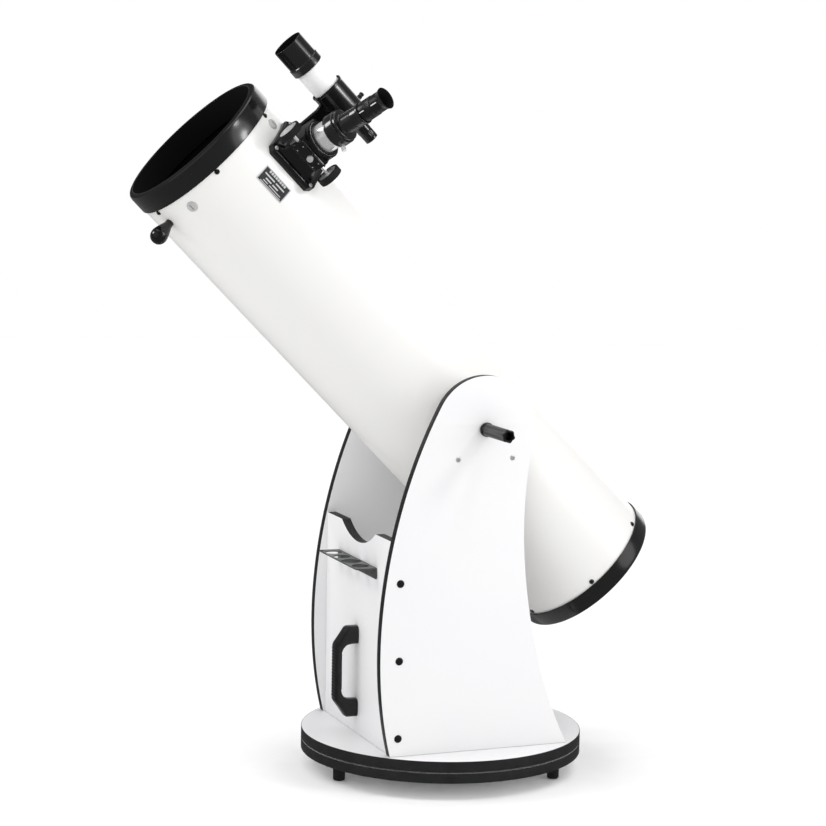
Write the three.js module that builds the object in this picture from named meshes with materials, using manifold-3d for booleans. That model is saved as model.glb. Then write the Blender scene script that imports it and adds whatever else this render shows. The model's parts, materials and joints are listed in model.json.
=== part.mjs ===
// A Newtonian reflector of 254 mm aperture and 1200 mm focal length on a rocker-box mount.
// Millimetres, +Z up. The origin is on the floor under the middle of the object's outline.
// The tube points towards -X and up. The near side of the mount faces -Y.
import * as THREE from 'three';
import { mergeVertices } from 'three/addons/utils/BufferGeometryUtils.js';
import Module from 'manifold-3d';

const wasm = await Module();
wasm.setup();

// ---- Driving dimensions ----------------------------------------------------------------

const GAP = 0.3; // running or fitting gap between two pieces that touch
const DEG = Math.PI / 180;

const AZIMUTH_X = 100; // the azimuth pivot, forward or back of the origin
const ALTITUDE_Z = 661; // height of the altitude axis
const ALTITUDE_DEG = 45.5; // how far the tube points above the horizon at rest

const BOARD = 18; // thickness of every laminated board
const BASE_R = 264; // both base discs
const FOOT_H = 32;
const PAD_H = 4; // low-friction pads between the base discs
const PANEL_Y = 189; // outer faces of the side panels
const PANEL_TOP_R = 97; // round top of a side panel about the altitude axis
const FRONT_BOARD_X = -172; // outer face of the front board
const FRONT_BOARD_TOP = 462;

const TUBE_R = 145;
const TUBE_WALL = 1;
const RING_R = 148; // both end rings
const RING_W = 35;
const TUBE_FRONT = 709; // altitude axis to the front ring's face
const TUBE_REAR = -424; // altitude axis to the rear ring's face

const MIRROR_R = 127; // primary mirror
const MIRROR_H = 35;
const MIRROR_BACK = -395;
const FOCAL_LENGTH = 1200;
const COLLIMATION_R = 84; // circle of the three collimation screws
const LOCK_R = 112; // circle of the three locking screws

const TRUNNION_R = 62.8; // altitude bearing discs
const POST_R = 12; // nylon posts that carry them
const POST_LENGTH = 20;
const POST_OFFSET = 53; // posts sit this far to each side of the altitude axis, and below it

const FOCUSER_S = 579; // focuser axis, along the tube from the altitude axis
const FOCUSER_BETA = 43; // round the tube from the near side towards the top
const DRAWTUBE_R = 27;
const DRAWTUBE_BORE = 25.5;
const SHAFT_R = 3; // the focus shaft rolls on the drawtube
const SHAFT_H = 188; // height of the focus shaft above the tube axis
const KNOB_S = 52; // focus knobs' middles, each way from the focuser axis
const KNOB_R = 22;

const FINDER_BETA = 68;
const FINDER_H = 242; // finder axis above the tube axis
const FINDER_TUBE_R = 26;
const BRACKET_R = 30.5;
const BRACKET_BORE = 28.6;
const BRACKET_FRONT = 626;
const BRACKET_REAR = 556;
const RIM_SCREWS_S = 566; // finder aiming screws

const SPIDER_S = 649; // middle of the spider vanes
const SPIDER_BETA = 47;
const GUIDE_KNOB_S = 644;
const GUIDE_KNOB_BETA = -70.5;

const GROUND_BOARD_Z = FOOT_H;
const ROCKER_BOARD_Z = GROUND_BOARD_Z + BOARD + PAD_H;
const ROCKER_TOP = ROCKER_BOARD_Z + BOARD;
const PANEL_INNER = PANEL_Y - BOARD;
const SHAFT_Y = -(DRAWTUBE_R + SHAFT_R + GAP + 0.1);

// ---- Colours and finishes --------------------------------------------------------------

const finish = (color, roughness, metalness = 0) => () =>
  new THREE.MeshStandardMaterial({ color, roughness, metalness });

const tubeWhite = finish(0xf2f2ee, 0.25);
const laminateWhite = finish(0xf4f4f2, 0.45);
const castBlack = finish(0x202123, 0.4, 0.2);
const anodisedBlack = finish(0x1b1c1e, 0.35, 0.6);
const plasticBlack = finish(0x1e1e20, 0.5);
const rubberBlack = finish(0x232323, 0.8);
const rackGrey = finish(0x4a4c4e, 0.5, 0.4);
const nylonWhite = finish(0xe8e6de, 0.5);
const polishedSteel = finish(0xc8cacc, 0.2, 1);
const mirrorGlass = finish(0xdfe6ea, 0.03, 1);

// ---- Geometry helpers ------------------------------------------------------------------

// A closed geometry with shared vertices and its faces pointing out.
function closed(geometry) {
  const bare = geometry.clone();
  for (const name of Object.keys(bare.attributes)) {
    if (name !== 'position') bare.deleteAttribute(name);
  }
  const merged = mergeVertices(bare, 1e-4);
  const p = merged.attributes.position;
  const index = merged.index.array;
  const kept = [];
  const [a, b, c] = [new THREE.Vector3(), new THREE.Vector3(), new THREE.Vector3()];
  let volume = 0;
  for (let i = 0; i < index.length; i += 3) {
    const [i0, i1, i2] = index.slice(i, i + 3);
    if (i0 === i1 || i1 === i2 || i2 === i0) continue;
    kept.push([i0, i1, i2]);
    a.fromBufferAttribute(p, i0);
    b.fromBufferAttribute(p, i1);
    c.fromBufferAttribute(p, i2);
    volume += a.dot(b.cross(c));
  }
  const facingOut = volume > 0 ? kept : kept.map(([i0, i1, i2]) => [i0, i2, i1]);
  merged.setIndex(facingOut.flat());
  return merged;
}

function solid(geometry) {
  const g = closed(geometry);
  return new wasm.Manifold(
    new wasm.Mesh({
      numProp: 3,
      vertProperties: new Float32Array(g.attributes.position.array),
      triVerts: new Uint32Array(g.index.array),
    }),
  );
}

function geometryOf(body) {
  const mesh = body.getMesh();
  const geometry = new THREE.BufferGeometry();
  geometry.setAttribute('position', new THREE.BufferAttribute(mesh.vertProperties, 3));
  geometry.setIndex(new THREE.BufferAttribute(mesh.triVerts, 1));
  geometry.computeVertexNormals();
  return geometry;
}

// Joins the first list of geometries and cuts the second list away from them.
function carve(joined, cuts = []) {
  let body = joined.map(solid).reduce((sum, next) => sum.add(next));
  for (const cut of cuts) body = body.subtract(solid(cut));
  return geometryOf(body);
}

// Turns a profile of [radius, z] points about Z. It starts and ends on the axis, or is a loop.
function lathe(profile, segments = 32) {
  const onAxis = profile[0][0] === 0 && profile.at(-1)[0] === 0;
  const points = (onAxis ? profile : [...profile, profile[0]]).map(([r, z]) => new THREE.Vector2(r, z));
  return new THREE.LatheGeometry(points, segments).rotateX(Math.PI / 2);
}

const rod = (radius, z0, z1, segments = 16) =>
  lathe([[0, z0], [radius, z0], [radius, z1], [0, z1]], segments);

const sleeve = (outer, inner, z0, z1, segments = 32) =>
  lathe([[inner, z0], [outer, z0], [outer, z1], [inner, z1]], segments);

// A box from its lowest to its highest corner.
function box([x0, y0, z0], [x1, y1, z1]) {
  return new THREE.BoxGeometry(x1 - x0, y1 - y0, z1 - z0)
    .translate((x0 + x1) / 2, (y0 + y1) / 2, (z0 + z1) / 2);
}

// A straight prism of an outline, from z0 to z1.
function prism(points, z0, z1) {
  const shape = new THREE.Shape(points.map(([x, y]) => new THREE.Vector2(x, y)));
  return new THREE.ExtrudeGeometry(shape, { depth: z1 - z0, bevelEnabled: false, steps: 1 })
    .translate(0, 0, z0);
}

// Lathes and prisms are made along Z; these lay them along X or Y with their z kept as x or y.
const alongX = (geometry) => geometry.rotateY(Math.PI / 2);
const alongY = (geometry) => geometry.rotateX(-Math.PI / 2);

// A rectangular frustum along X: half sizes [y, z] at x0 and at x1.
function frustumX(x0, [y0, z0], x1, [y1, z1]) {
  const g = new THREE.BoxGeometry(1, 1, 1);
  const p = g.attributes.position;
  for (let i = 0; i < p.count; i += 1) {
    const far = p.getX(i) > 0;
    p.setXYZ(i, far ? x1 : x0, 2 * p.getY(i) * (far ? y1 : y0), 2 * p.getZ(i) * (far ? z1 : z0));
  }
  return g;
}

// The tube's outside with a fitting gap, to cut the seat of whatever is fastened to it.
const tubeSeat = (z0, z1) => rod(TUBE_R + GAP, z0, z1, 96);

// ---- Placing pieces --------------------------------------------------------------------

const telescope = new THREE.Group();

function frameIn(parent, position, rotation = [0, 0, 0]) {
  const group = new THREE.Group();
  group.position.set(...position);
  group.rotation.set(...rotation);
  parent.add(group);
  return group;
}

function place(parent, name, geometry, material, position = [0, 0, 0], rotation = [0, 0, 0]) {
  const mesh = new THREE.Mesh(closed(geometry), material());
  mesh.name = name;
  mesh.position.set(...position);
  mesh.rotation.set(...rotation);
  parent.add(mesh);
}

// The azimuth frame stands on the floor under the pivot. In the tube's frame Z is the optical
// axis towards the sky, X is the tube's upper side and Y is the far side.
const azimuth = frameIn(telescope, [AZIMUTH_X, 0, 0]);
const tube = frameIn(azimuth, [0, 0, ALTITUDE_Z], [0, (ALTITUDE_DEG - 90) * DEG, 0]);

// A frame at an angle round the tube: its X points out of the tube, its Z along it.
const roundTube = (beta, s) => frameIn(tube, [0, 0, s], [0, 0, (beta - 90) * DEG]);

// ---- Base ------------------------------------------------------------------------------

const BOLT_R = 5;
const FOOT_R = 230; // circle of the feet
const PAD_CIRCLE_R = 205;
const FOOT_ANGLES = [-166, -46, 74];

function baseDisc(holeR) {
  return sleeve(BASE_R, holeR, 0, BOARD, 48);
}

function foot() {
  return lathe([[0, 0], [9.5, 0], [11, 2], [11.5, 26], [9, FOOT_H], [0, FOOT_H]], 20);
}

function hexagon(acrossFlats, z0, z1) {
  return rod(acrossFlats / 2 / Math.cos(30 * DEG), z0, z1, 6);
}

function pivotBolt() {
  const head = hexagon(17, FOOT_H - 7, FOOT_H - GAP);
  return carve([head, rod(BOLT_R, FOOT_H - 2, ROCKER_TOP + 14)]);
}

function pivotNut() {
  const z = ROCKER_TOP + 0.2;
  const washer = rod(14, z, z + 2, 24);
  return carve([washer, hexagon(17, z + 1, z + 10)], [rod(BOLT_R + 0.2, z - 1, z + 11)]);
}

function buildBase() {
  place(azimuth, 'ground_board', baseDisc(BOLT_R + GAP), laminateWhite, [0, 0, GROUND_BOARD_Z]);
  FOOT_ANGLES.forEach((angle, i) => {
    const [c, s] = [Math.cos(angle * DEG), Math.sin(angle * DEG)];
    place(azimuth, `foot_${i + 1}`, foot(), rubberBlack, [FOOT_R * c, FOOT_R * s, 0]);
    const pad = rod(16, 0, PAD_H - 0.2, 20);
    place(azimuth, `azimuth_pad_${i + 1}`, pad, nylonWhite,
      [PAD_CIRCLE_R * c, PAD_CIRCLE_R * s, GROUND_BOARD_Z + BOARD]);
  });
  place(azimuth, 'pivot_bolt', pivotBolt(), polishedSteel);
  place(azimuth, 'pivot_nut', pivotNut(), polishedSteel);
}

// ---- Rocker box ------------------------------------------------------------------------

// The outline in x and z: a round top about the altitude axis, a bowed front edge and a
// waisted rear edge that flares at the foot.
function sidePanel() {
  const foot = ROCKER_TOP + GAP;
  const [frontFoot, rearFoot] = [-175, 174];
  const [frontArc, rearArc] = [152 * DEG, -12.5 * DEG];
  const onArc = (angle) => [PANEL_TOP_R * Math.cos(angle), ALTITUDE_Z + PANEL_TOP_R * Math.sin(angle)];
  const shape = new THREE.Shape();
  shape.moveTo(rearFoot, foot);
  shape.bezierCurveTo(106, 203, 51, 443, ...onArc(rearArc));
  shape.absarc(0, ALTITUDE_Z, PANEL_TOP_R, rearArc, frontArc, false);
  shape.bezierCurveTo(-177, 535, -227, 282, frontFoot, foot);
  const bore = new THREE.Path();
  bore.absarc(0, ALTITUDE_Z, 7, 0, 2 * Math.PI, false);
  shape.holes.push(bore);
  return new THREE.ExtrudeGeometry(shape, { depth: BOARD, bevelEnabled: false, curveSegments: 14 })
    .rotateX(Math.PI / 2);
}

// Stands across the front between the panels, with a shallow round cutout in its top edge.
function frontBoard() {
  const half = PANEL_INNER - GAP;
  const [cutHalf, cutDepth] = [90, 29];
  const cutR = (cutHalf ** 2 + cutDepth ** 2) / (2 * cutDepth);
  const reach = Math.asin(cutHalf / cutR);
  const shape = new THREE.Shape();
  shape.moveTo(-half, ROCKER_TOP + GAP);
  shape.lineTo(half, ROCKER_TOP + GAP);
  shape.lineTo(half, FRONT_BOARD_TOP);
  shape.lineTo(cutHalf, FRONT_BOARD_TOP);
  shape.absarc(0, FRONT_BOARD_TOP - cutDepth + cutR, cutR, -Math.PI / 2 + reach, -Math.PI / 2 - reach, true);
  shape.lineTo(-half, FRONT_BOARD_TOP);
  const outline = { depth: BOARD, bevelEnabled: false, curveSegments: 14 };
  return new THREE.ExtrudeGeometry(shape, outline).rotateX(Math.PI / 2).rotateZ(Math.PI / 2);
}

// A bent sheet: a shelf with three small and one large eyepiece hole, and a flange below it.
function eyepieceRack() {
  const [halfLength, reach, drop, sheet, top, holeReach] = [103, 41, 21, 2, 402, 21.5];
  const holeRadii = [16, 16, 19, 16];
  const back = FRONT_BOARD_X - GAP;
  const shelf = box([back - reach, -halfLength, top - sheet], [back, halfLength, top]);
  const flange = box([back - sheet, -halfLength, top - drop], [back, halfLength, top]);
  const space = (2 * halfLength - 2 * holeRadii.reduce((a, b) => a + b)) / (holeRadii.length + 1);
  const holes = [];
  let y = halfLength;
  for (const r of holeRadii) {
    y -= space + r;
    holes.push(rod(r, top - 10, top + 10, 16).translate(back - holeReach, y, 0));
    y -= r;
  }
  return carve([shelf, flange], holes);
}

// A bow handle with a block at each end; z runs up the board and x out of it.
function carryHandle() {
  const [low, high, width] = [104, 276, 26];
  const outer = [[0, low], [22, low], [42, low + 33], [42, high - 34], [21, high], [0, high]];
  const inner = [[0, high - 32], [18, high - 33], [27, high - 39], [31, high - 48],
    [31, low + 50], [27, low + 41], [18, low + 35], [0, low + 34]];
  return prism([...outer, ...inner], -width / 2, width / 2)
    .rotateX(Math.PI / 2).rotateZ(Math.PI).translate(FRONT_BOARD_X - GAP, 0, 0);
}

function buildRocker() {
  place(azimuth, 'rocker_base_board', baseDisc(BOLT_R + 0.5), laminateWhite, [0, 0, ROCKER_BOARD_Z]);
  place(azimuth, 'side_panel_near', sidePanel(), laminateWhite, [0, -PANEL_INNER, 0]);
  place(azimuth, 'side_panel_far', sidePanel(), laminateWhite, [0, PANEL_Y, 0]);
  place(azimuth, 'front_board', frontBoard(), laminateWhite, [FRONT_BOARD_X, 0, 0]);
  place(azimuth, 'eyepiece_rack', eyepieceRack(), rackGrey);
  place(azimuth, 'carry_handle', carryHandle(), plasticBlack);
  const post = alongY(rod(POST_R, 0, POST_LENGTH, 20));
  for (const [end, x] of [['front', -POST_OFFSET], ['rear', POST_OFFSET]]) {
    const z = ALTITUDE_Z - POST_OFFSET;
    place(azimuth, `bearing_post_near_${end}`, post, nylonWhite, [x, -PANEL_INNER + GAP, z]);
    place(azimuth, `bearing_post_far_${end}`, post, nylonWhite, [x, PANEL_INNER - GAP - POST_LENGTH, z]);
  }
}

// ---- Tube ------------------------------------------------------------------------------

const SCREW_BORE = 5.3; // thread of a tension handle in the altitude bearing

function opticalTube() {
  const shell = sleeve(TUBE_R, TUBE_R - TUBE_WALL, TUBE_REAR + 4, TUBE_FRONT - 4, 48);
  const focuserHole = alongX(rod(DRAWTUBE_R + 3, 100, 200, 24))
    .rotateZ((FOCUSER_BETA - 90) * DEG).translate(0, 0, FOCUSER_S);
  return carve([shell], [focuserHole]);
}

// A cast end ring: an outer skirt, a rounded face and a lip inside the tube that its screws hold.
function endRing(lipInner) {
  const skirt = TUBE_R + 0.4;
  const lip = TUBE_R - TUBE_WALL - GAP;
  return lathe([
    [lipInner, -9], [lipInner, RING_W], [RING_R - 5, RING_W],
    [RING_R, RING_W - 6], [RING_R, 0], [skirt, 0], [skirt, RING_W - 3.5],
    [lip, RING_W - 3.5], [lip, -9],
  ], 48);
}

// The rear ring carries a three-armed spider for the mirror cell's screws.
const ARM_ANGLES = [270, 30, 150];

function rearRing() {
  const face = RING_W - 10;
  const arms = ARM_ANGLES.map((angle) => box([20, -18, face], [138, 18, RING_W]).rotateZ(angle * DEG));
  const holes = ARM_ANGLES.flatMap((angle) => [
    rod(4, face - 1, RING_W + 1, 12).translate(COLLIMATION_R, 0, 0).rotateZ(angle * DEG),
    rod(3.2, face - 1, RING_W + 1, 12).translate(LOCK_R, 0, 0).rotateZ(angle * DEG),
  ]);
  return carve([endRing(135), rod(42, face, RING_W, 24), ...arms], holes);
}

// A disc with its back hollowed to sit on the tube, and a threaded bore for the tension handle.
function altitudeBearing() {
  const disc = alongY(rod(TRUNNION_R, 125, 168.5, 36));
  const bore = alongY(rod(SCREW_BORE, 120, 180, 16));
  return carve([disc], [tubeSeat(-80, 80), bore]);
}

// A fluted grip on a threaded shank, seen along its axis from the panel outwards.
function tensionHandle() {
  const lobes = 6;
  const flutes = Array.from({ length: 4 * lobes }, (_, i) => {
    const angle = (i / (4 * lobes)) * 2 * Math.PI;
    const r = 11.6 + 0.9 * Math.cos(lobes * angle);
    return [r * Math.cos(angle), r * Math.sin(angle)];
  });
  const foot = PANEL_Y + 0.5;
  const collar = rod(13, foot, foot + 6, 24);
  const grip = prism(flutes, foot + 5, foot + 102);
  const shank = rod(4.8, 150, foot + 1, 16);
  const hollowEnd = rod(7.5, foot + 80, foot + 110, 16);
  return alongY(carve([collar, grip, shank], [hollowEnd]));
}

function guideKnob() {
  return alongX(lathe([
    [0, 140], [7, 140], [7, 147], [10, 158], [14, 170],
    [15.5, 178], [14, 185.5], [10, 191], [4.5, 194], [0, 194.5],
  ], 20));
}

function spider() {
  const reach = TUBE_R - TUBE_WALL - GAP;
  const vane = () => box([8, -0.8, SPIDER_S - 12], [reach - 3, 0.8, SPIDER_S + 12]);
  const lug = () => box([reach - 6, -7, SPIDER_S - 8], [reach - 1, 7, SPIDER_S + 8]);
  const arms = [0, 90, 180, 270].flatMap((turn) => [
    vane().rotateZ((SPIDER_BETA - 90 + turn) * DEG),
    lug().rotateZ((SPIDER_BETA - 90 + turn) * DEG),
  ]);
  return carve([rod(15, SPIDER_S - 12, SPIDER_S + 12, 20), ...arms], [rod(3.4, 600, 700, 12)]);
}

function buildTube() {
  place(tube, 'optical_tube', opticalTube(), tubeWhite);
  place(tube, 'front_ring', endRing(137), castBlack, [0, 0, TUBE_FRONT - RING_W]);
  place(tube, 'rear_ring', rearRing(), castBlack, [0, 0, TUBE_REAR + RING_W], [Math.PI, 0, 0]);
  for (const [side, turn] of [['far', 0], ['near', Math.PI]]) {
    place(tube, `altitude_bearing_${side}`, altitudeBearing(), plasticBlack, [0, 0, 0], [0, 0, turn]);
    place(tube, `tension_handle_${side}`, tensionHandle(), plasticBlack, [0, 0, 0], [0, 0, turn]);
  }
  const knobSeat = tubeSeat(-30, 30);
  const knobFrame = roundTube(GUIDE_KNOB_BETA, GUIDE_KNOB_S);
  place(knobFrame, 'guide_knob', carve([guideKnob()], [knobSeat]), plasticBlack);
  place(tube, 'spider', spider(), anodisedBlack);
}

// ---- Secondary mirror ------------------------------------------------------------------

const SECONDARY_R = 29;
const SECONDARY_H = 10;
const HOLDER_TOP = SPIDER_S - 15;

// Everything on the sky side of a plane at 45 degrees that faces the focuser, set back from it.
function behindFlat(setBack) {
  return box([-200, -200, 0], [200, 200, 200]).rotateY(-45 * DEG)
    .translate(0, 0, FOCUSER_S + setBack * Math.SQRT2);
}

function secondaryMirror() {
  const blank = solid(rod(SECONDARY_R, FOCUSER_S - 60, FOCUSER_S + 60, 36));
  return geometryOf(blank.intersect(solid(behindFlat(0))).subtract(solid(behindFlat(SECONDARY_H))));
}

function secondaryHolder() {
  const stalk = solid(rod(27, FOCUSER_S - 60, HOLDER_TOP, 32));
  const bore = solid(rod(3.8, HOLDER_TOP - 9, HOLDER_TOP + 1, 12));
  return geometryOf(stalk.intersect(solid(behindFlat(SECONDARY_H + GAP))).subtract(bore));
}

// The central bolt that hangs the holder from the spider's hub.
function secondaryBolt() {
  return carve([rod(3, HOLDER_TOP - 6, SPIDER_S + 14, 12), hexagon(11, SPIDER_S + 12 + GAP, SPIDER_S + 18)]);
}

function buildSecondary() {
  const frame = roundTube(FOCUSER_BETA, 0);
  place(frame, 'secondary_bolt', secondaryBolt(), polishedSteel);
  place(frame, 'secondary_holder', secondaryHolder(), anodisedBlack);
  place(frame, 'secondary_mirror', secondaryMirror(), mirrorGlass);
}

// ---- Primary mirror and its cell -------------------------------------------------------

const CELL_BACK = -405;

// A concave paraboloid face on a flat-backed blank, with a small bevel round its rim.
function primaryMirror() {
  const depth = (r) => r ** 2 / (4 * FOCAL_LENGTH);
  const steps = 5;
  const vertex = MIRROR_H - depth(MIRROR_R - 1);
  const face = Array.from({ length: steps + 1 }, (_, i) => {
    const r = (MIRROR_R - 1) * (1 - i / steps);
    return [r, vertex + depth(r)];
  });
  return lathe([[0, 0], [MIRROR_R, 0], [MIRROR_R, MIRROR_H - 1], ...face], 48);
}

// A three-lobed plate behind the mirror, with a clip post at the end of each lobe.
function mirrorCell() {
  const [plate, clipTop] = [8, MIRROR_BACK - CELL_BACK + MIRROR_H];
  const lobes = ARM_ANGLES.map((angle) => box([0, -32, 0], [124, 32, plate]).rotateZ(-angle * DEG));
  const clips = ARM_ANGLES.flatMap((angle) => [
    box([120, -10, 0], [132, 10, plate]).rotateZ(-angle * DEG),
    box([MIRROR_R + GAP, -10, 0], [132, 10, clipTop + 4]).rotateZ(-angle * DEG),
    box([118, -10, clipTop + GAP], [132, 10, clipTop + 4]).rotateZ(-angle * DEG),
  ]);
  const screwHoles = ARM_ANGLES.map((angle) =>
    rod(3.5, -1, plate + 1, 12).translate(COLLIMATION_R, 0, 0).rotateZ(-angle * DEG));
  return carve([rod(72, 0, plate, 32), ...lobes, ...clips], [rod(30, -1, plate + 1, 24), ...screwHoles]);
}

function collimationKnob() {
  return carve([
    rod(12, TUBE_REAR - 16, TUBE_REAR - 4, 16),
    rod(7, TUBE_REAR - 5, TUBE_REAR - GAP, 16),
    rod(3, TUBE_REAR - 2, CELL_BACK + 7, 12),
  ]);
}

function lockScrew() {
  return carve([rod(7, TUBE_REAR - 14, TUBE_REAR - 2, 12), rod(2.5, TUBE_REAR - 3, CELL_BACK - 2.5, 12)]);
}

function buildPrimary() {
  place(tube, 'mirror_cell', mirrorCell(), castBlack, [0, 0, CELL_BACK]);
  place(tube, 'primary_mirror', primaryMirror(), mirrorGlass, [0, 0, MIRROR_BACK]);
  ARM_ANGLES.forEach((angle, i) => {
    const at = (r) => [r * Math.cos(angle * DEG), -r * Math.sin(angle * DEG), 0];
    place(tube, `collimation_knob_${i + 1}`, collimationKnob(), plasticBlack, at(COLLIMATION_R));
    place(tube, `lock_screw_${i + 1}`, lockScrew(), polishedSteel, at(LOCK_R));
  });
}

// ---- Focuser ---------------------------------------------------------------------------
// In this frame X points out of the tube, Z along the tube and Y across it towards the top.

const PLATE_TOP = 152;
const BODY_TOP = 213;
const DRAWTUBE_TOP = 236;
const ADAPTER_TOP = 308;
const FLANGE_FOOT = 258.3; // the adapter's flange rests on the compression ring
const FOCUS_LOCK = { x: SHAFT_H + 2, z: -4 }; // lock screw, on the near face of the body
const RING_SCREW = { x: 247, turn: 40 * DEG }; // thumbscrew of the compression ring

// A flat-topped saddle with cut corners.
function focuserBase() {
  const [halfWidth, halfLength, corner] = [47, 54, 9];
  const outline = [];
  for (const [sy, sz] of [[1, 1], [-1, 1], [-1, -1], [1, -1]]) {
    const alongFirst = sy * sz > 0;
    const a = [sy * halfWidth, sz * (halfLength - corner)];
    const b = [sy * (halfWidth - corner), sz * halfLength];
    outline.push(...(alongFirst ? [a, b] : [b, a]));
  }
  const slab = prism(outline.map(([y, z]) => [-z, y]), 130, PLATE_TOP);
  return carve([alongX(slab)], [tubeSeat(-80, 80), alongX(rod(DRAWTUBE_R + 3, 100, 200, 24))]);
}

function focuserBody() {
  const foot = PLATE_TOP + GAP;
  const parts = [
    frustumX(foot, [38, 44], 172, [33, 32]),
    box([170, -33, -32], [203, 33, 32]),
    box([176, -41, -30], [199, 0, 30]),
    alongX(rod(36, 198, BODY_TOP - 3, 28)),
    alongX(rod(33, 208, BODY_TOP, 28)),
  ];
  const cuts = [
    alongX(rod(DRAWTUBE_R + 0.5, 140, 230, 28)),
    rod(SHAFT_R + 0.4, -60, 60, 16).translate(SHAFT_H, SHAFT_Y, 0),
    alongY(rod(2.8, -60, SHAFT_Y, 12)).translate(FOCUS_LOCK.x, 0, FOCUS_LOCK.z),
  ];
  return carve(parts, cuts);
}

function eyepieceAdapter() {
  return alongX(lathe([
    [16.1, 228], [25.2, 228], [25.2, FLANGE_FOOT], [29, FLANGE_FOOT], [29, 263], [19, 265],
    [19, 303], [20.5, 304], [20.5, ADAPTER_TOP], [16.1, ADAPTER_TOP],
  ], 24));
}

function eyepiece() {
  const shoulder = ADAPTER_TOP + GAP;
  return alongX(lathe([
    [0, 300], [13, 300], [13, 283], [15.8, 283], [15.8, shoulder], [18.5, shoulder],
    [18.5, 340], [16.5, 344], [20, 359], [17.5, 359], [12, 349], [0, 349],
  ], 24));
}

// A thumbscrew along Z from its tip to the top of its head.
function thumbscrew(tip, neck, top, shankR, headR) {
  return carve([rod(shankR, tip, neck + 1, 10), rod(headR, neck, top, 14)]);
}

function buildFocuser() {
  const frame = roundTube(FOCUSER_BETA, FOCUSER_S);
  place(frame, 'focuser_base', focuserBase(), castBlack);
  place(frame, 'focuser_body', focuserBody(), castBlack);
  const drawtube = alongX(sleeve(DRAWTUBE_R, DRAWTUBE_BORE, 150, DRAWTUBE_TOP, 28));
  place(frame, 'drawtube', drawtube, polishedSteel);
  const lockHole = alongX(rod(2.6, 24, 40, 10)).rotateZ(-90 * DEG).rotateX(RING_SCREW.turn);
  lockHole.translate(RING_SCREW.x, 0, 0);
  const ring = alongX(sleeve(31, DRAWTUBE_BORE, DRAWTUBE_TOP + GAP, FLANGE_FOOT - GAP, 28));
  place(frame, 'adapter_ring', carve([ring], [lockHole]), anodisedBlack);
  place(frame, 'eyepiece_adapter', eyepieceAdapter(), anodisedBlack);
  place(frame, 'eyepiece', eyepiece(), plasticBlack);

  const shaft = frameIn(frame, [SHAFT_H, SHAFT_Y, 0]);
  const knobHalf = 6.5;
  place(shaft, 'focus_shaft', rod(SHAFT_R, -KNOB_S - 4, KNOB_S + 4, 16), polishedSteel);
  const knobCut = rod(SHAFT_R + GAP, -knobHalf - 1, 4 + GAP, 16);
  const knob = () => carve([rod(KNOB_R, -knobHalf, knobHalf, 28)], [knobCut]);
  place(shaft, 'focus_knob_front', knob(), rubberBlack, [0, 0, KNOB_S]);
  place(shaft, 'focus_knob_rear', knob(), rubberBlack, [0, 0, -KNOB_S], [Math.PI, 0, 0]);

  const lockScrewGeometry = alongY(thumbscrew(34.5, 41.5, 46, 2.4, 5)).rotateZ(Math.PI);
  place(frame, 'focus_lock_screw', lockScrewGeometry, polishedSteel, [FOCUS_LOCK.x, 0, FOCUS_LOCK.z]);
  const ringScrew = alongX(thumbscrew(25.6, 35, 44, 2.2, 4)).rotateZ(-90 * DEG);
  place(frame, 'adapter_thumbscrew', ringScrew, polishedSteel, [RING_SCREW.x, 0, 0], [RING_SCREW.turn, 0, 0]);
}

// ---- Finder ----------------------------------------------------------------------------
// The finder's own frame lies on its axis: X away from the tube, Z along it.

const FINDER_FRONT = 730;
const SHOE_TOP = 158;
const SHOE_S = [558, 610];
const SHOE_SCREW = [154.5, 0, 584]; // clamps the dovetail foot from the far side
const O_RING_S = 618;

function finderShoe() {
  const block = box([140, -14, SHOE_S[0]], [SHOE_TOP, 14, SHOE_S[1]]);
  const slot = prism([[151, -10.3], [SHOE_TOP + 1, -7.3], [SHOE_TOP + 1, 7.3], [151, 10.3]], 540, 630);
  const screwHole = alongY(rod(2.6, 5, 20, 10)).translate(...SHOE_SCREW);
  return carve([block], [tubeSeat(540, 630), slot, screwHole]);
}

// A sleeve with three screw bosses, on a stem that ends in a dovetail foot.
const AIMING_ANGLES = [45, -45, 150]; // two thumbscrews and the sprung plunger

function finderBracket() {
  const sleeveSolid = rod(BRACKET_R, BRACKET_REAR, BRACKET_FRONT, 28).translate(FINDER_H, 0, 0);
  const bore = rod(BRACKET_BORE, BRACKET_REAR - 5, BRACKET_FRONT + 5, 28).translate(FINDER_H, 0, 0);
  const dovetail = prism([[151.4, -9.7], [158.6, -6.8], [158.6, 6.8], [151.4, 9.7]], ...SHOE_S);
  const stem = box([158, -5, 566], [FINDER_H - 27, 5, 606]);
  const aboutFinder = (geometry, angle) =>
    geometry.rotateZ(angle * DEG).translate(FINDER_H, 0, RIM_SCREWS_S);
  const bosses = AIMING_ANGLES.map((angle) => aboutFinder(alongX(rod(5.5, 27, 34, 12)), angle));
  const holes = AIMING_ANGLES.map((angle) => aboutFinder(alongX(rod(2.9, 20, 40, 8)), angle));
  return carve([sleeveSolid, dovetail, stem, ...bosses], [bore, ...holes]);
}

function finderTube() {
  const wall = 1.5;
  const outer = [[13.3, 541], [15, 541], [15, 553], [FINDER_TUBE_R, 586], [FINDER_TUBE_R, 690]];
  const inner = [[FINDER_TUBE_R - wall, 690], [FINDER_TUBE_R - wall, 586.5], [13.3, 552]];
  return lathe([...outer, ...inner], 28);
}

function finderDewCap() {
  return lathe([
    [26.4, 673], [30, 673], [30, 681], [28.5, 683], [28.5, FINDER_FRONT], [27, FINDER_FRONT],
    [27, 694], [23, 694], [23, 691], [26.4, 691],
  ], 28);
}

function finderEyepiece() {
  return lathe([
    [0, 503], [8, 503], [9.5, 500], [12.5, 500], [12.5, 519], [12.9, 521], [12.9, 551], [0, 551],
  ], 20);
}

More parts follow.
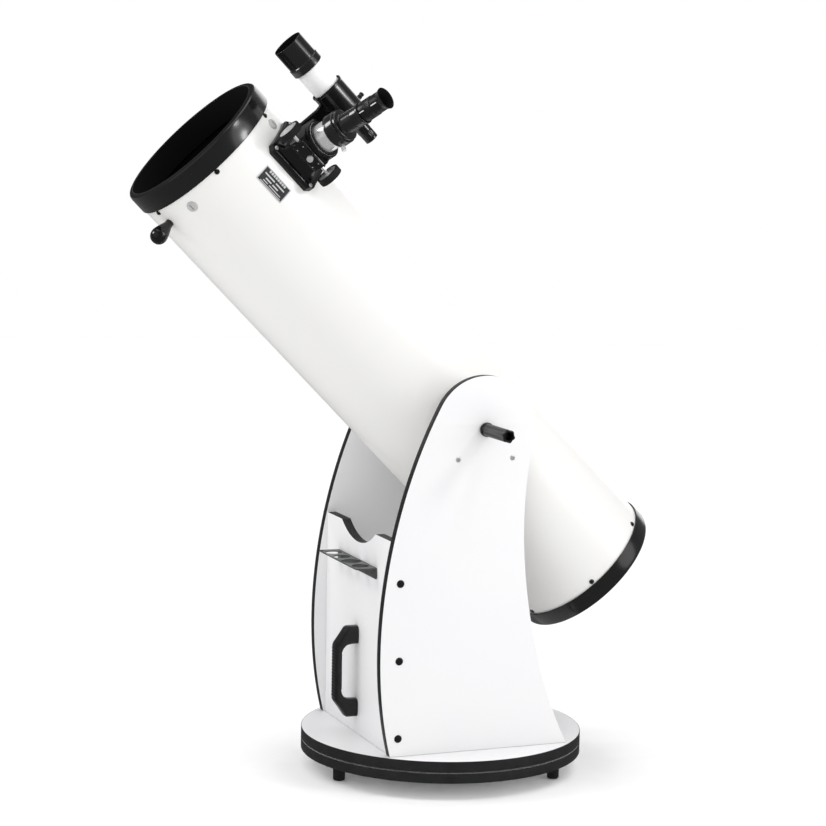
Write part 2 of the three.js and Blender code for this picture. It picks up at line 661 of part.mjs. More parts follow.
function buildFinder() {
  const base = roundTube(FINDER_BETA, 0);
  place(base, 'finder_shoe', finderShoe(), castBlack);
  place(base, 'finder_bracket', finderBracket(), castBlack);
  const screw = alongY(thumbscrew(10, 17, 27, 2.3, 6));
  place(base, 'finder_shoe_screw', screw, anodisedBlack, SHOE_SCREW);

  const finder = frameIn(base, [FINDER_H, 0, 0]);
  place(finder, 'finder_o_ring', new THREE.TorusGeometry(27.3, 1.1, 6, 24), rubberBlack, [0, 0, O_RING_S]);
  place(finder, 'finder_tube', finderTube(), tubeWhite);
  place(finder, 'finder_dew_cap', finderDewCap(), anodisedBlack);
  place(finder, 'finder_eyepiece', finderEyepiece(), anodisedBlack);
  const aiming = { aiming_screw_1: [41, 50], aiming_screw_2: [41, 50], aiming_plunger: [34.5, 42] };
  Object.entries(aiming).forEach(([name, [neck, top]], i) => {
    const geometry = alongX(thumbscrew(27.4, neck, top, 2.3, 4.5));
    place(finder, name, geometry, anodisedBlack, [0, 0, RIM_SCREWS_S], [0, 0, AIMING_ANGLES[i] * DEG]);
  });
}

// ---- Assembly --------------------------------------------------------------------------

buildBase();
buildRocker();
buildTube();
buildSecondary();
buildPrimary();
buildFocuser();
buildFinder();

export default telescope;
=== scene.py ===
"""The looks of a 254 mm Newtonian reflector on a rocker-box mount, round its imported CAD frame.

Shapes are in millimetres in the frame of the assembly that they belong to. They are placed in
metres, with each assembly's frame worked out from the record's joints.
"""

import json
from math import asin, cos, degrees, inf, pi, radians, sin, sqrt, tan

import bmesh
import bpy
import numpy as np
from mathutils import Matrix, Vector


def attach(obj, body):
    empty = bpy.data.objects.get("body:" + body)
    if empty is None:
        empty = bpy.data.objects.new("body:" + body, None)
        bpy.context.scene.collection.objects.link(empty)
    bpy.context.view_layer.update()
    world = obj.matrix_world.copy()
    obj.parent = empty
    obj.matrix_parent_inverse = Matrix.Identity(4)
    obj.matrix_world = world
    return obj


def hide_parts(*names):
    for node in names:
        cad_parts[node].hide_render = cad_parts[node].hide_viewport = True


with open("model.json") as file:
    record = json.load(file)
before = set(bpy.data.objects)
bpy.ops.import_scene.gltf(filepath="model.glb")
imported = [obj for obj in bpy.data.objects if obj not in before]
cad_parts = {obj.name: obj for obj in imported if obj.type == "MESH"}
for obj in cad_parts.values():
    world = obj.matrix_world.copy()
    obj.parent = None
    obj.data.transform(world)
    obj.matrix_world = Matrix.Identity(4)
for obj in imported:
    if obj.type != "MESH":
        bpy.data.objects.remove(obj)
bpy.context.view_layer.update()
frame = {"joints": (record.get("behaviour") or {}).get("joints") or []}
scene = bpy.context.scene
scene.view_settings.view_transform = "Standard"

MM = 0.001

# ---- Driving dimensions, in millimetres and degrees ----

GAP = 0.3  # between two pieces that touch

BOARD = 18  # thickness of the laminated boards
BASE_R = 264
FOOT_H = 32
FOOT_ANGLES = (-166, -46, 74)
FOOT_CIRCLE_R, PAD_CIRCLE_R = 230, 205
PIVOT_FLATS = 17  # across the flats of the pivot bolt's head and nut
GROUND_BOARD_Z = FOOT_H
ROCKER_BOARD_Z = 54
ROCKER_TOP = ROCKER_BOARD_Z + BOARD
PANEL_Y = 189  # outer faces of the side panels
PANEL_INNER = PANEL_Y - BOARD
PANEL_TOP_R = 97
PANEL_SCREWS_X, PANEL_SCREWS_Z = -160, (388, 247, 105)
FRONT_BOARD_X = -172
FRONT_BOARD_TOP = 462
FRONT_CUT_HALF, FRONT_CUT_DEPTH = 90, 29
RACK_TOP = 402
POST_OFFSET = 53

TUBE_R = 145
TUBE_INNER = 144
TUBE_FRONT = 709
TUBE_REAR = -424
RING_R = 148
RING_W = 35
FRONT_RING_W = 38

RING_SCREWS = (("front", 669, 47), ("rear", -383, 45))  # ring, place along the tube, first angle
LABEL_BETA, LABEL_S = 10.4, 583.1
GUIDE_KNOB_BETA, GUIDE_KNOB_S = -70.5, 644

FOCAL_LENGTH = 1200
MIRROR_R = 127
MIRROR_BACK = -395
MIRROR_H = 35
CELL_BACK = -405
COLLIMATION_R = 84
LOCK_R = 112
ARM_ANGLES = (270, 30, 150)

SPIDER_S = 649
SPIDER_BETA = 47

FOCUSER_BETA, FOCUSER_S = 43, 579
PLATE_TOP = 152
BODY_TOP = 213
DRAWTUBE_R, DRAWTUBE_BORE, DRAWTUBE_TOP = 27, 25.5, 236
SHAFT_X, SHAFT_Y = 188, -30.4
KNOB_S, KNOB_R = 52, 22

FINDER_BETA, FINDER_H = 68, 242
AIMING_S, AIMING_ANGLES = 566, (45, -45, 150)
SHOE_LOW, SHOE_HIGH = 558, 610

FLOOR_R, FLOOR_Z = 9000, -0.5

# ---- Frames ----


def turn(angle, axis="Z"):
    return Matrix.Rotation(radians(angle), 4, axis)


def shift(x=0.0, y=0.0, z=0.0):
    return Matrix.Translation(Vector((x, y, z)) * MM)


JOINTS = {joint["name"]: joint for joint in frame["joints"]}
FAR_SIDE = Vector((0, 1, 0))

BASE = Matrix.Translation((JOINTS["azimuth"]["pos_m"][0], 0, 0))

# The tube's frame: Z is the optical axis towards the sky, X the upper side and Y the far side.
optical_axis = Vector(JOINTS["finder_objective"]["axis"]).normalized()
TUBE = Matrix((FAR_SIDE.cross(optical_axis), FAR_SIDE, optical_axis)).transposed().to_4x4()
TUBE.translation = JOINTS["altitude"]["pos_m"]

Z_TO_X = turn(90, "Y")
Z_TO_FAR = turn(-90, "X")
Z_TO_NEAR = turn(90, "X")
SIDES = (("near", Z_TO_NEAR), ("far", Z_TO_FAR))


def round_tube(beta, s=0.0, height=0.0):
    """X points out of the tube, beta degrees round it from the near side; Z lies along it."""
    return TUBE @ turn(beta - 90) @ shift(height, 0, s)


FOCUSER = round_tube(FOCUSER_BETA, FOCUSER_S)
FINDER = round_tube(FINDER_BETA, 0, FINDER_H)
SHOE = round_tube(FINDER_BETA)

# An upright board's frame: X and Y lie in the board, and Z is through it.
SIDE_BOARD = BASE @ turn(90, "X")
CROSS_BOARD = BASE @ turn(90, "Z") @ turn(90, "X")

# ---- Forms ----


class Form:
    """Points in millimetres, faces, and for each face the number of its finish."""

    def __init__(self, points, faces, marks=None):
        self.points = np.asarray(points, float).reshape(-1, 3)
        self.faces = [tuple(face) for face in faces]
        self.marks = [0] * len(self.faces) if marks is None else list(marks)

    def __add__(self, other):
        start = len(self.points)
        points = np.vstack([self.points, other.points])
        faces = [tuple(i + start for i in face) for face in other.faces]
        return Form(points, self.faces + faces, self.marks + other.marks)

    def moved(self, x=0.0, y=0.0, z=0.0):
        return Form(self.points + (x, y, z), self.faces, self.marks)

    def turned(self, angle, axis="Z"):
        rotation = np.array(turn(angle, axis).to_3x3())
        return Form(self.points @ rotation.T, self.faces, self.marks)

    def marked(self, mark):
        return Form(self.points, self.faces, [mark] * len(self.faces))


def joined(forms):
    first, *others = forms
    return sum(others, first)


def fillet(points, radius, closed=False, steps=3):
    """Rounds the corners of a line of (a, b) or (a, b, mark) points."""
    rounded = []
    count = len(points)
    for i, corner in enumerate(points):
        if not closed and i in (0, count - 1):
            rounded.append(corner)
            continue
        here = Vector(corner[:2])
        before = Vector(points[i - 1][:2]) - here
        after = Vector(points[(i + 1) % count][:2]) - here
        bend = before.angle(-after) if before.length and after.length else 0
        if bend < radians(12):
            rounded.append(corner)
            continue
        reach = min(radius * tan(bend / 2), 0.45 * before.length, 0.45 * after.length)
        start = here + before.normalized() * reach
        end = here + after.normalized() * reach
        for step in range(steps + 1):
            t = step / steps
            point = start * (1 - t) ** 2 + here * 2 * t * (1 - t) + end * t**2
            mark = corner[2:] if step == steps else ()
            rounded.append((point.x, point.y, *mark))
    return rounded


def round_angles(count):
    return np.linspace(0, 2 * pi, count, endpoint=False)


def revolve(profile, segments=64, loop=False, shape=None):
    """Turns (radius, z) points about Z. A third number is the finish from that point on.

    shape(radius, z, angles) gives the radii of one ring where they aren't all the same.
    """
    angles = round_angles(segments)
    points, rings, marks_at = [], [], []
    mark = 0
    for radius, z, *changed in profile:
        mark = changed[0] if changed else mark
        marks_at.append(mark)
        if radius < 1e-6:
            rings.append([len(points)])
            points.append((0, 0, z))
            continue
        radii = shape(radius, z, angles) if shape else np.full(segments, float(radius))
        rings.append(list(range(len(points), len(points) + segments)))
        points.extend(zip(radii * np.cos(angles), radii * np.sin(angles), np.full(segments, z)))
    faces, marks = [], []
    pairs = list(zip(rings, rings[1:])) + ([(rings[-1], rings[0])] if loop else [])
    for (low, high), band in zip(pairs, marks_at):
        for i in range(segments):
            j = (i + 1) % segments
            if len(low) == 1 and len(high) == 1:
                continue
            if len(low) == 1:
                faces.append((low[0], high[j], high[i]))
            elif len(high) == 1:
                faces.append((low[i], low[j], high[0]))
            else:
                faces.append((low[i], low[j], high[j], high[i]))
            marks.append(band)
    return Form(points, faces, marks)


def lathe(profile, radius=0.6, segments=64, loop=False, shape=None):
    """A revolved profile with its corners rounded."""
    return revolve(fillet(profile, radius, closed=loop), segments, loop, shape)


def rod(radius, low, high, edge, segments, bore=0):
    """A round bar from low to high, or a ring if it has a bore."""
    profile = [(bore, low), (radius, low), (radius, high), (bore, high)]
    return lathe(profile, edge, segments, loop=bore > 0)


def loft(rings, marks=None, closed=False):
    """Joins rings of points, each with the same count, and caps the two ends."""
    count = len(rings[0])
    points = np.vstack([np.asarray(ring, float) for ring in rings])
    faces, face_marks = [], []
    spans = len(rings) if closed else len(rings) - 1
    for k in range(spans):
        low, high = k * count, ((k + 1) % len(rings)) * count
        for i in range(count):
            j = (i + 1) % count
            faces.append((low + i, low + j, high + j, high + i))
            face_marks.append(marks[k] if marks else 0)
    if not closed:
        faces.append(tuple(reversed(range(count))))
        faces.append(tuple(range(len(points) - count, len(points))))
        face_marks += [marks[0] if marks else 0, marks[-1] if marks else 0]
    return Form(points, faces, face_marks)


def block(low, high):
    """A box from its lowest corner to its highest; piece() can round its edges."""
    (x0, y0, z0), (x1, y1, z1) = low, high
    ring = [(x0, y0), (x1, y0), (x1, y1), (x0, y1)]
    return loft([[(x, y, z) for x, y in ring] for z in (z0, z1)])


def arc(centre, radius, start, end, steps):
    """Points of an arc, from one angle to another in degrees."""
    angles = np.radians(np.linspace(start, end, steps + 1))
    return [(centre[0] + radius * cos(a), centre[1] + radius * sin(a)) for a in angles]


def circle(radius, x=0.0, y=0.0, steps=48):
    return arc((x, y), radius, 0, 360 * (steps - 1) / steps, steps - 1)


def bezier(p0, p1, p2, p3, steps):
    """Points of a cubic curve without its last one."""
    points = []
    for t in np.arange(steps) / steps:
        weights = ((1 - t) ** 3, 3 * t * (1 - t) ** 2, 3 * t**2 * (1 - t), t**3)
        points.append(tuple(np.dot(weights, (p0, p1, p2, p3))))
    return points


def plate(outline, z0, z1, holes=(), edge=0.5):
    """A flat plate from its outline and its holes. Its two faces have mark 0, its edges 1."""
    curve = bpy.data.curves.new("outline", "CURVE")
    curve.dimensions = "2D"
    curve.fill_mode = "BOTH"
    curve.extrude = (z1 - z0) / 2 - edge
    curve.bevel_depth = edge
    curve.bevel_resolution = 2
    curve.offset = -edge
    for line in (outline, *holes):
        spline = curve.splines.new("POLY")
        spline.points.add(len(line) - 1)
        for point, (x, y, *_) in zip(spline.points, line):
            point.co = (x, y, 0, 1)
        spline.use_cyclic_u = True
    holder = bpy.data.objects.new("outline", curve)
    mesh = bpy.data.meshes.new_from_object(holder)
    middle = (z0 + z1) / 2
    points = [(v.co.x, v.co.y, v.co.z + middle) for v in mesh.vertices]
    faces = [tuple(face.vertices) for face in mesh.polygons]
    marks = [0 if abs(face.normal.z) > 0.3 else 1 for face in mesh.polygons]
    bpy.data.objects.remove(holder)
    bpy.data.curves.remove(curve)
    bpy.data.meshes.remove(mesh)
    return Form(points, faces, marks)


def resampled(outline, step):
    """A closed outline with a point at least every step."""
    dense = []
    for i, start in enumerate(outline):
        a, b = np.array(start[:2]), np.array(outline[(i + 1) % len(outline)][:2])
        parts = max(1, int(np.linalg.norm(b - a) / step))
        dense += [tuple(a + (b - a) * k / parts) for k in range(parts)]
    return dense


def rounded_rectangle(half_a, half_b, corner, steps=5):
    """Points round a rectangle with round corners, always the same count."""
    points = []
    for sign_a, sign_b, start in ((1, 1, 0), (-1, 1, 90), (-1, -1, 180), (1, -1, 270)):
        centre = (sign_a * (half_a - corner), sign_b * (half_b - corner))
        points += arc(centre, corner, start, start + 90, steps)
    return points


def on_tube(form, radius=TUBE_R):
    """Brings the points that would be inside the tube out to its surface, along X."""
    points = form.points.copy()
    surface = np.sqrt(np.maximum(radius**2 - points[:, 1] ** 2, 0))
    points[:, 0] = np.maximum(points[:, 0], surface)
    return Form(points, form.faces, form.marks)


def ripples(count, depth, low, high):
    """Grooves all round, cut between two heights."""

    def shape(radius, z, angles):
        cut = depth if low <= z <= high else 0
        return radius - cut * (0.5 - 0.5 * np.cos(count * angles))

    return shape


def polygon(sides, low=-inf, high=inf):
    """Flats all round between two heights; a radius there is to the middle of a flat."""

    def shape(radius, z, angles):
        if not low <= z <= high:
            return np.full(len(angles), float(radius))
        half = pi / sides
        return radius / np.cos((angles % (2 * half)) - half)

    return shape


# ---- Pieces ----


def mesh_of(name, form, finishes=()):
    mesh = bpy.data.meshes.new(name)
    mesh.from_pydata((form.points * MM).tolist(), [], form.faces)
    for finish in finishes:
        mesh.materials.append(finish.material)
    return mesh


def add_object(name, data, place):
    thing = bpy.data.objects.new(name, data)
    scene.collection.objects.link(thing)
    thing.matrix_world = place
    return thing


def piece(name, body, place, form, finishes, node=None, edge=0.0, smooth=35):
    """Makes an object of a form, puts it in place, and rides it on a CAD body.

    node is the CAD node that it replaces.
    """
    mesh = mesh_of(name, form, finishes)
    mesh.polygons.foreach_set("material_index", form.marks)
    work = bmesh.new()
    work.from_mesh(mesh)
    bmesh.ops.remove_doubles(work, verts=work.verts, dist=1e-6)
    bmesh.ops.recalc_face_normals(work, faces=work.faces)
    work.to_mesh(mesh)
    work.free()
    mesh.polygons.foreach_set("use_smooth", [True] * len(mesh.polygons))
    mesh.set_sharp_from_angle(angle=radians(smooth))
    thing = add_object(name, mesh, place)
    if edge:
        bevel = thing.modifiers.new("Rounded edges", "BEVEL")
        bevel.width = edge * MM
        bevel.segments = 3
        bevel.limit_method = "ANGLE"
        bevel.angle_limit = radians(40)
        weighted = thing.modifiers.new("Even shading", "WEIGHTED_NORMAL")
        weighted.keep_sharp = True
    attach(thing, body)
    if node:
        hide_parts(node)
    return thing


# ---- Finishes ----


class Finish:
    """A material whose colour, roughness and relief come from procedural textures.

    slot names a slot in the record; it is stored but not used.
    """

    def __init__(self, name, slot, sockets=None):
        self.slot = slot
        self.material = bpy.data.materials.new(name)
        self.material.use_nodes = True
        self.tree = self.material.node_tree
        self.shader = self.tree.nodes["Principled BSDF"]
        self.place = self.node("TexCoord").outputs["Object"]
        self.height = None
        for socket, value in (sockets or {}).items():
            self.shader.inputs[socket].default_value = value

    def node(self, kind, links=None, values=None, **settings):
        made = self.tree.nodes.new("ShaderNode" + kind)
        for key, value in settings.items():
            setattr(made, key, value)
        for socket, value in (values or {}).items():
            made.inputs[socket].default_value = value
        for socket, source in (links or {}).items():
            self.tree.links.new(source, made.inputs[socket])
        return made

    def noise(self, scale, detail=3.0, stretch=(1, 1, 1)):
        """A noise with scale features in a metre."""
        mapped = self.node("Mapping", {"Vector": self.place}, {"Scale": stretch})
        values = {"Scale": scale, "Detail": detail}
        return self.node("TexNoise", {"Vector": mapped.outputs["Vector"]}, values).outputs["Fac"]

    def colour(self, base, other, source, low=0.35, high=0.65):
        """Colour from base to other as source goes from low to high."""
        ramp = self.node("ValToRGB", {"Fac": source})
        for stop, position, shade in zip(ramp.color_ramp.elements, (low, high), (base, other)):
            stop.position = position
            stop.color = (*shade, 1)
        self.tree.links.new(ramp.outputs["Color"], self.shader.inputs["Base Color"])
        return self

    def roughness(self, low, high, source):
        limits = {"From Min": 0.3, "From Max": 0.7, "To Min": low, "To Max": high}
        spread = self.node("MapRange", {"Value": source}, limits)
        self.tree.links.new(spread.outputs["Result"], self.shader.inputs["Roughness"])
        return self

    def relief(self, depth, source):
        """Relief of a depth in millimetres, on top of any before it."""
        links = {"Height": source}
        if self.height:
            links["Normal"] = self.height
        bump = self.node("Bump", links, {"Strength": 1.0, "Distance": depth * MM})
        self.height = bump.outputs["Normal"]
        self.tree.links.new(self.height, self.shader.inputs["Normal"])
        return self

    def grooves(self, per_metre, distortion=0.0, kind="RINGS"):
        """Fine turning marks about Z, or bands along it."""
        wave = self.node(
            "TexWave",
            {"Vector": self.place},
            {"Scale": per_metre, "Distortion": distortion, "Detail": 2.0},
            wave_type=kind,
        )
        if kind == "RINGS":
            wave.rings_direction = "Z"
        else:
            wave.bands_direction = "Z"
        return wave.outputs["Fac"]


def plain(name, slot, shade, roughness, grain, depth, vary=0.12, spread=0.08, specular=0.5):
    """A finish of one shade: slow mottling, and a grain that sets its relief and its gloss."""
    made = Finish(name, slot, {"Specular IOR Level": specular})
    fine = made.noise(grain, 4.0)
    other = tuple(min(1.0, channel * (1 + vary)) for channel in shade)
    made.colour(shade, other, made.noise(14.0, 5.0))
    made.roughness(roughness - spread / 2, roughness + spread / 2, fine)
    return made.relief(depth, fine)


def turned_metal(name, slot, shade, roughness, per_metre, metallic, kind="RINGS", spread=0.07):
    """Bare metal with the marks that a lathe tool leaves, on a face or along a barrel."""
    made = Finish(name, slot, {"Metallic": metallic})
    rings = made.grooves(per_metre, 0.4, kind)
    other = tuple(channel * 0.98 for channel in shade)
    made.colour(shade, other, made.noise(120.0, 3.0, (1, 1, 0.2)), 0.3, 0.8)
    made.roughness(roughness - spread / 2, roughness + spread / 2, rings)
    return made.relief(0.03 * spread, rings)


def enamel(name, slot, shade):
    """Sprayed gloss enamel on rolled steel: faint orange peel under a clear coat."""
    made = Finish(name, slot, {"Coat Weight": 0.5, "Coat Roughness": 0.22})
    peel = made.noise(500.0, 2.0)
    warm = (shade[0], shade[1] * 0.995, shade[2] * 0.985)
    made.colour(shade, warm, made.noise(3.0, 1.0), 0.2, 0.8)
    made.roughness(0.38, 0.4, made.noise(90.0, 2.0))
    return made.relief(0.0008, peel)


def melamine(name, slot, shade):
    """White melamine laminate: a fine pebbled press texture on a faintly wavy board."""
    made = Finish(name, slot, {"Specular IOR Level": 0.45})
    pebble = made.noise(1500.0, 2.0)
    cool = (shade[0] * 0.985, shade[1] * 0.99, shade[2])
    made.colour(shade, cool, made.noise(5.0, 4.0))
    made.roughness(0.4, 0.5, pebble)
    return made.relief(0.006, pebble)


def edge_band(name, slot, shade):
    """Plastic edge banding: fine lines that run along the edge, and a slight haze."""
    made = Finish(name, slot, {"Specular IOR Level": 0.3})
    lines = made.noise(900.0, 3.0, (0.15, 0.15, 1.0))
    haze = tuple(channel * 1.35 for channel in shade)
    made.colour(shade, haze, made.noise(40.0, 5.0))
    made.roughness(0.42, 0.6, lines)
    return made.relief(0.015, lines)


def mirror(name, slot, shade):
    """Aluminised glass: almost even, with the faintest haze."""
    made = Finish(name, slot, {"Metallic": 1.0})
    haze = made.noise(30.0, 6.0)
    made.colour(shade, tuple(channel * 0.97 for channel in shade), haze)
    return made.roughness(0.012, 0.03, haze)


def lens_glass(name, slot, shade, tint):
    """Coated glass over a dark inside, tinted by its coating."""
    coat = {"Coat Weight": 1.0, "Coat Roughness": 0.02, "Specular IOR Level": 0.8}
    made = Finish(name, slot, coat)
    layer = made.node("LayerWeight", values={"Blend": 0.35})
    made.colour(shade, tint, layer.outputs["Facing"], 0.15, 0.9)
    return made.roughness(0.04, 0.08, made.noise(50.0))


F_TUBE = enamel("Gloss white enamel", "tube_paint", (0.86, 0.855, 0.835))
# The tube's white enamel made lighter for the finder: the extra whiteness is painted light, where
# the finder is seen brighter than the tube.
F_FINDER_PAINTED_LIGHT = enamel("Gloss white enamel with painted light", "tube_paint", (0.97, 0.967, 0.96))
F_INSIDE = plain(
    "Matt black inside", "cast_black", (0.004, 0.004, 0.0045), 0.85, 900.0, 0.03, specular=0.2
)
F_LAMINATE = melamine("White melamine", "laminate", (0.865, 0.862, 0.862))
F_EDGE = edge_band("Black edge banding", "laminate", (0.012, 0.012, 0.013))
F_CAST = plain(
    "Satin black casting", "cast_black", (0.005, 0.005, 0.0052), 0.19, 700.0, 0.005, 0.3,
    specular=0.6
)
F_GLOSS = plain(
    "Gloss black paint", "cast_black", (0.004, 0.004, 0.0042), 0.14, 500.0, 0.002, 0.3, 0.04, 0.42
)
F_ANODISED = plain(
    "Black anodising", "anodised_black", (0.006, 0.006, 0.0062), 0.18, 1500.0, 0.001, 0.3, 0.03, 0.6
)
F_PLASTIC = plain(
    "Moulded black plastic", "black_plastic", (0.006, 0.006, 0.0062), 0.34, 1300.0, 0.006, 0.25,
    specular=0.34
)
F_RUBBER = plain(
    "Black rubber", "black_rubber", (0.011, 0.011, 0.011), 0.6, 1100.0, 0.02, 0.3, specular=0.2
)
F_FACE = turned_metal("Turned aluminium", "knob_metal", (0.86, 0.86, 0.86), 0.36, 900.0, 0.75)
F_STEEL = turned_metal("Zinc plated steel", "polished_steel", (0.74, 0.74, 0.74), 0.34, 400.0, 0.7)
F_CHROME = turned_metal(
    "Satin chrome", "bright_chrome", (0.94, 0.94, 0.94), 0.27, 300.0, 0.7, "BANDS", 0.01
)
F_NYLON = plain("White nylon", "nylon", (0.74, 0.73, 0.69), 0.48, 800.0, 0.02, 0.05)
F_RACK = plain("Grey powder coat", "rack_paint", (0.05, 0.051, 0.052), 0.36, 1600.0, 0.01, 0.2)
F_BOLT = plain("Pale grey plastic", "nylon", (0.46, 0.46, 0.455), 0.4, 900.0, 0.02, 0.08)
F_MIRROR = mirror("Aluminised glass", "mirror_glass", (0.9, 0.91, 0.92))
F_GROUND = plain("Ground glass", "mirror_glass", (0.42, 0.47, 0.46), 0.6, 1500.0, 0.03, 0.1)
F_LENS = lens_glass("Coated lens", "mirror_glass", (0.004, 0.006, 0.006), (0.03, 0.06, 0.045))
F_PLATE = plain(
    "Dark label plate", "knob_metal", (0.03, 0.03, 0.032), 0.5, 900.0, 0.004, 0.25, specular=0.2
)
F_BORDER = plain("Silver print", "knob_metal", (0.5, 0.5, 0.5), 0.45, 900.0, 0.004, 0.08)
# White strips for the two glints along the eyepiece: painted highlights, not print on the eyepiece.
F_PAINTED_HIGHLIGHT = plain("Painted highlight strip", "nylon", (0.75, 0.75, 0.74), 0.5, 1200.0, 0.01, 0.06)


# ---- Screws ----


def socket_screw(radius, height, seat=-1.0):
    """A domed head on z = 0 with a hexagon socket."""
    key, rim = 0.45 * radius, 0.63 * radius
    top, bottom = height - 0.01, 0.3 * height - 0.01
    side = [(radius, seat), (radius, 0.35 * height), (0.8 * radius, 0.85 * height)]
    return joined([
        revolve(fillet([(0, seat), *side, (rim, height)], 0.35 * radius), 48),
        revolve([(rim, height), (key, top)], 48),
        revolve([(key, top), (key, bottom), (0, bottom)], 48, shape=polygon(6)),
    ])


def cross_screw(radius, height, seat=-1.0, slots=2):
    """A low domed head on z = 0 with a cross, or a single slot, pressed into it."""
    dome = [(0, seat), (radius, seat), (radius, 0.3 * height), (0.62 * radius, height)]
    low = 0.35 * height
    well = [(0.57 * radius, height), (0.55 * radius, height), (0.5 * radius, low), (0, low)]

    def star(r, z, angles):
        if r > 0.56 * radius:
            return np.full(len(angles), float(r))
        folded = np.abs(((angles * slots / pi + 0.5) % 1) - 0.5) * pi / slots
        arm = 0.11 * radius / np.maximum(np.sin(folded), 0.11)
        return np.minimum(arm, r)

    return revolve(fillet(dome, 0.4 * radius) + well, 72, shape=star)


def thumbscrew(tip, neck, top, shank, head, ribs=24):
    """A knurled thumbscrew along Z, from its tip to the top of its head."""
    profile = [
        (0, tip), (shank, tip), (shank, neck), (head, neck), (head, top), (head * 0.45, top),
        (0, top - 0.4),
    ]
    margin = 0.22 * (top - neck)
    rows = []
    for (r0, z0), (r1, z1) in zip(profile, profile[1:]):
        rows.append((r0, z0))
        if r0 == r1 == head:
            rows += [(head, neck + margin), (head, top - margin)]
    rows.append(profile[-1])
    return lathe(rows, 0.5, 96, shape=ripples(ribs, 0.07 * head, neck + margin, top - margin))


# ---- Base and rocker box ----

FACE, BAND = 0, 1
BOARD_FINISH = [F_LAMINATE, F_EDGE]


def base_disc(hole, lip=0.0):
    """A laminated disc with a dark edge band, which can have a lip below the disc."""
    inner = BASE_R - 1 - 2 * lip
    profile = [
        (hole, 0, FACE), (inner, 0, BAND), (inner, -lip), (BASE_R, -lip), (BASE_R, BOARD),
        (BASE_R - 1, BOARD, FACE), (hole, BOARD, BAND),
    ]
    return lathe(profile, 0.7, 256, loop=True)


def hexagon_head(flats, z0, z1):
    r = flats / 2
    profile = [(0, z0), (r - 0.8, z0), (r, z0 + 0.8), (r, z1 - 0.8), (r - 0.8, z1), (0, z1)]
    return revolve(profile, 96, shape=polygon(6, z0 + 0.4, z1 - 0.4))


def build_base():
    piece(
        "ground_disc", "ground", BASE @ shift(z=GROUND_BOARD_Z), base_disc(5.3), BOARD_FINISH,
        "ground_board"
    )
    foot = lathe([
        (0, 0.2), (9, 0), (11, 2), (11.5, 24), (11.5, 26), (9, 28), (9, FOOT_H), (0, FOOT_H),
    ], 1.2, 48)
    pad = rod(16, 0, 3.8, 0.5, 64)
    for i, angle in enumerate(FOOT_ANGLES, 1):
        at = BASE @ turn(angle) @ shift(FOOT_CIRCLE_R)
        piece(f"rubber_foot_{i}", "ground", at, foot, [F_RUBBER], f"foot_{i}")
        at = BASE @ turn(angle) @ shift(PAD_CIRCLE_R, 0, GROUND_BOARD_Z + BOARD)
        piece(f"glide_pad_{i}", "ground", at, pad, [F_NYLON], f"azimuth_pad_{i}")
    shank = rod(5, 30, ROCKER_TOP + 14, 0.8, 32)
    bolt = hexagon_head(PIVOT_FLATS, FOOT_H - 7, FOOT_H - GAP) + shank
    piece("azimuth_bolt", "ground", BASE, bolt, [F_STEEL], "pivot_bolt")
    seat = ROCKER_TOP + 0.2
    nut = rod(14, seat, seat + 2, 0.4, 48, 5.2) + hexagon_head(PIVOT_FLATS, seat + 2, seat + 10)
    piece("azimuth_nut", "ground", BASE, nut, [F_STEEL], "pivot_nut")


def panel_outline():
    """The side panel in its own X and height, from its rear foot round to its front foot."""
    foot_z = ROCKER_TOP + GAP
    centre_z = TUBE.translation.z / MM
    round_top = arc((0, centre_z), PANEL_TOP_R, -12.5, 152, 64)
    rear = bezier((174, foot_z), (106, 203), (51, 443), round_top[0], 48)
    front = bezier(round_top[-1], (-177, 535), (-227, 282), (-175, foot_z), 48)
    return rear + round_top[:-1] + front + [(-175, foot_z)]


def build_panel(side, out):
    """side is near or far, and out is the sign of its outer face's place through the board."""
    outer, inner = out * PANEL_Y, out * PANEL_INNER
    low, high = sorted((outer, inner))
    outward, inward = turn(0 if out > 0 else 180, "X"), turn(180 if out > 0 else 0, "X")
    centre_z = TUBE.translation.z / MM
    form = plate(panel_outline(), low, high, [circle(7, 0, centre_z)], 0.5)
    piece(f"panel_{side}", "rocker", SIDE_BOARD, form, BOARD_FINISH, f"side_panel_{side}")
    cap = lathe([(0, -1), (7.2, -1), (7.2, 0.9), (4.5, 2.1), (0, 2.4)], 1.2, 40)
    for i, z in enumerate(PANEL_SCREWS_Z, 1):
        at = SIDE_BOARD @ shift(PANEL_SCREWS_X, z, outer) @ outward
        piece(f"screw_cap_{side}_{i}", "rocker", at, cap, [F_PLASTIC])
    post = lathe([(0, 0), (12, 0), (12, 20), (7, 20), (6, 17), (3, 17), (0, 17)], 1.2, 48)
    z = centre_z - POST_OFFSET
    for end, x in (("front", -POST_OFFSET), ("rear", POST_OFFSET)):
        at = SIDE_BOARD @ shift(x, z, outer) @ outward
        piece(f"post_screw_{side}_{end}", "rocker", at, cross_screw(5, 1.6), [F_STEEL])
        at = SIDE_BOARD @ shift(x, z, inner - out * GAP) @ inward
        node = f"bearing_post_{side}_{end}"
        piece(f"roller_post_{side}_{end}", "rocker", at, post, [F_NYLON], node)


def front_board_outline():
    """The front board in its width and height, with the curved cut that the tube swings over."""
    half = PANEL_INNER - GAP
    foot_z = ROCKER_TOP + GAP
    radius = (FRONT_CUT_HALF**2 + FRONT_CUT_DEPTH**2) / (2 * FRONT_CUT_DEPTH)
    reach = degrees(asin(FRONT_CUT_HALF / radius))
    centre = (0, FRONT_BOARD_TOP - FRONT_CUT_DEPTH + radius)
    cut = arc(centre, radius, -90 + reach, -90 - reach, 40)
    top = FRONT_BOARD_TOP
    return [(-half, foot_z), (half, foot_z), (half, top), *cut, (-half, top)]


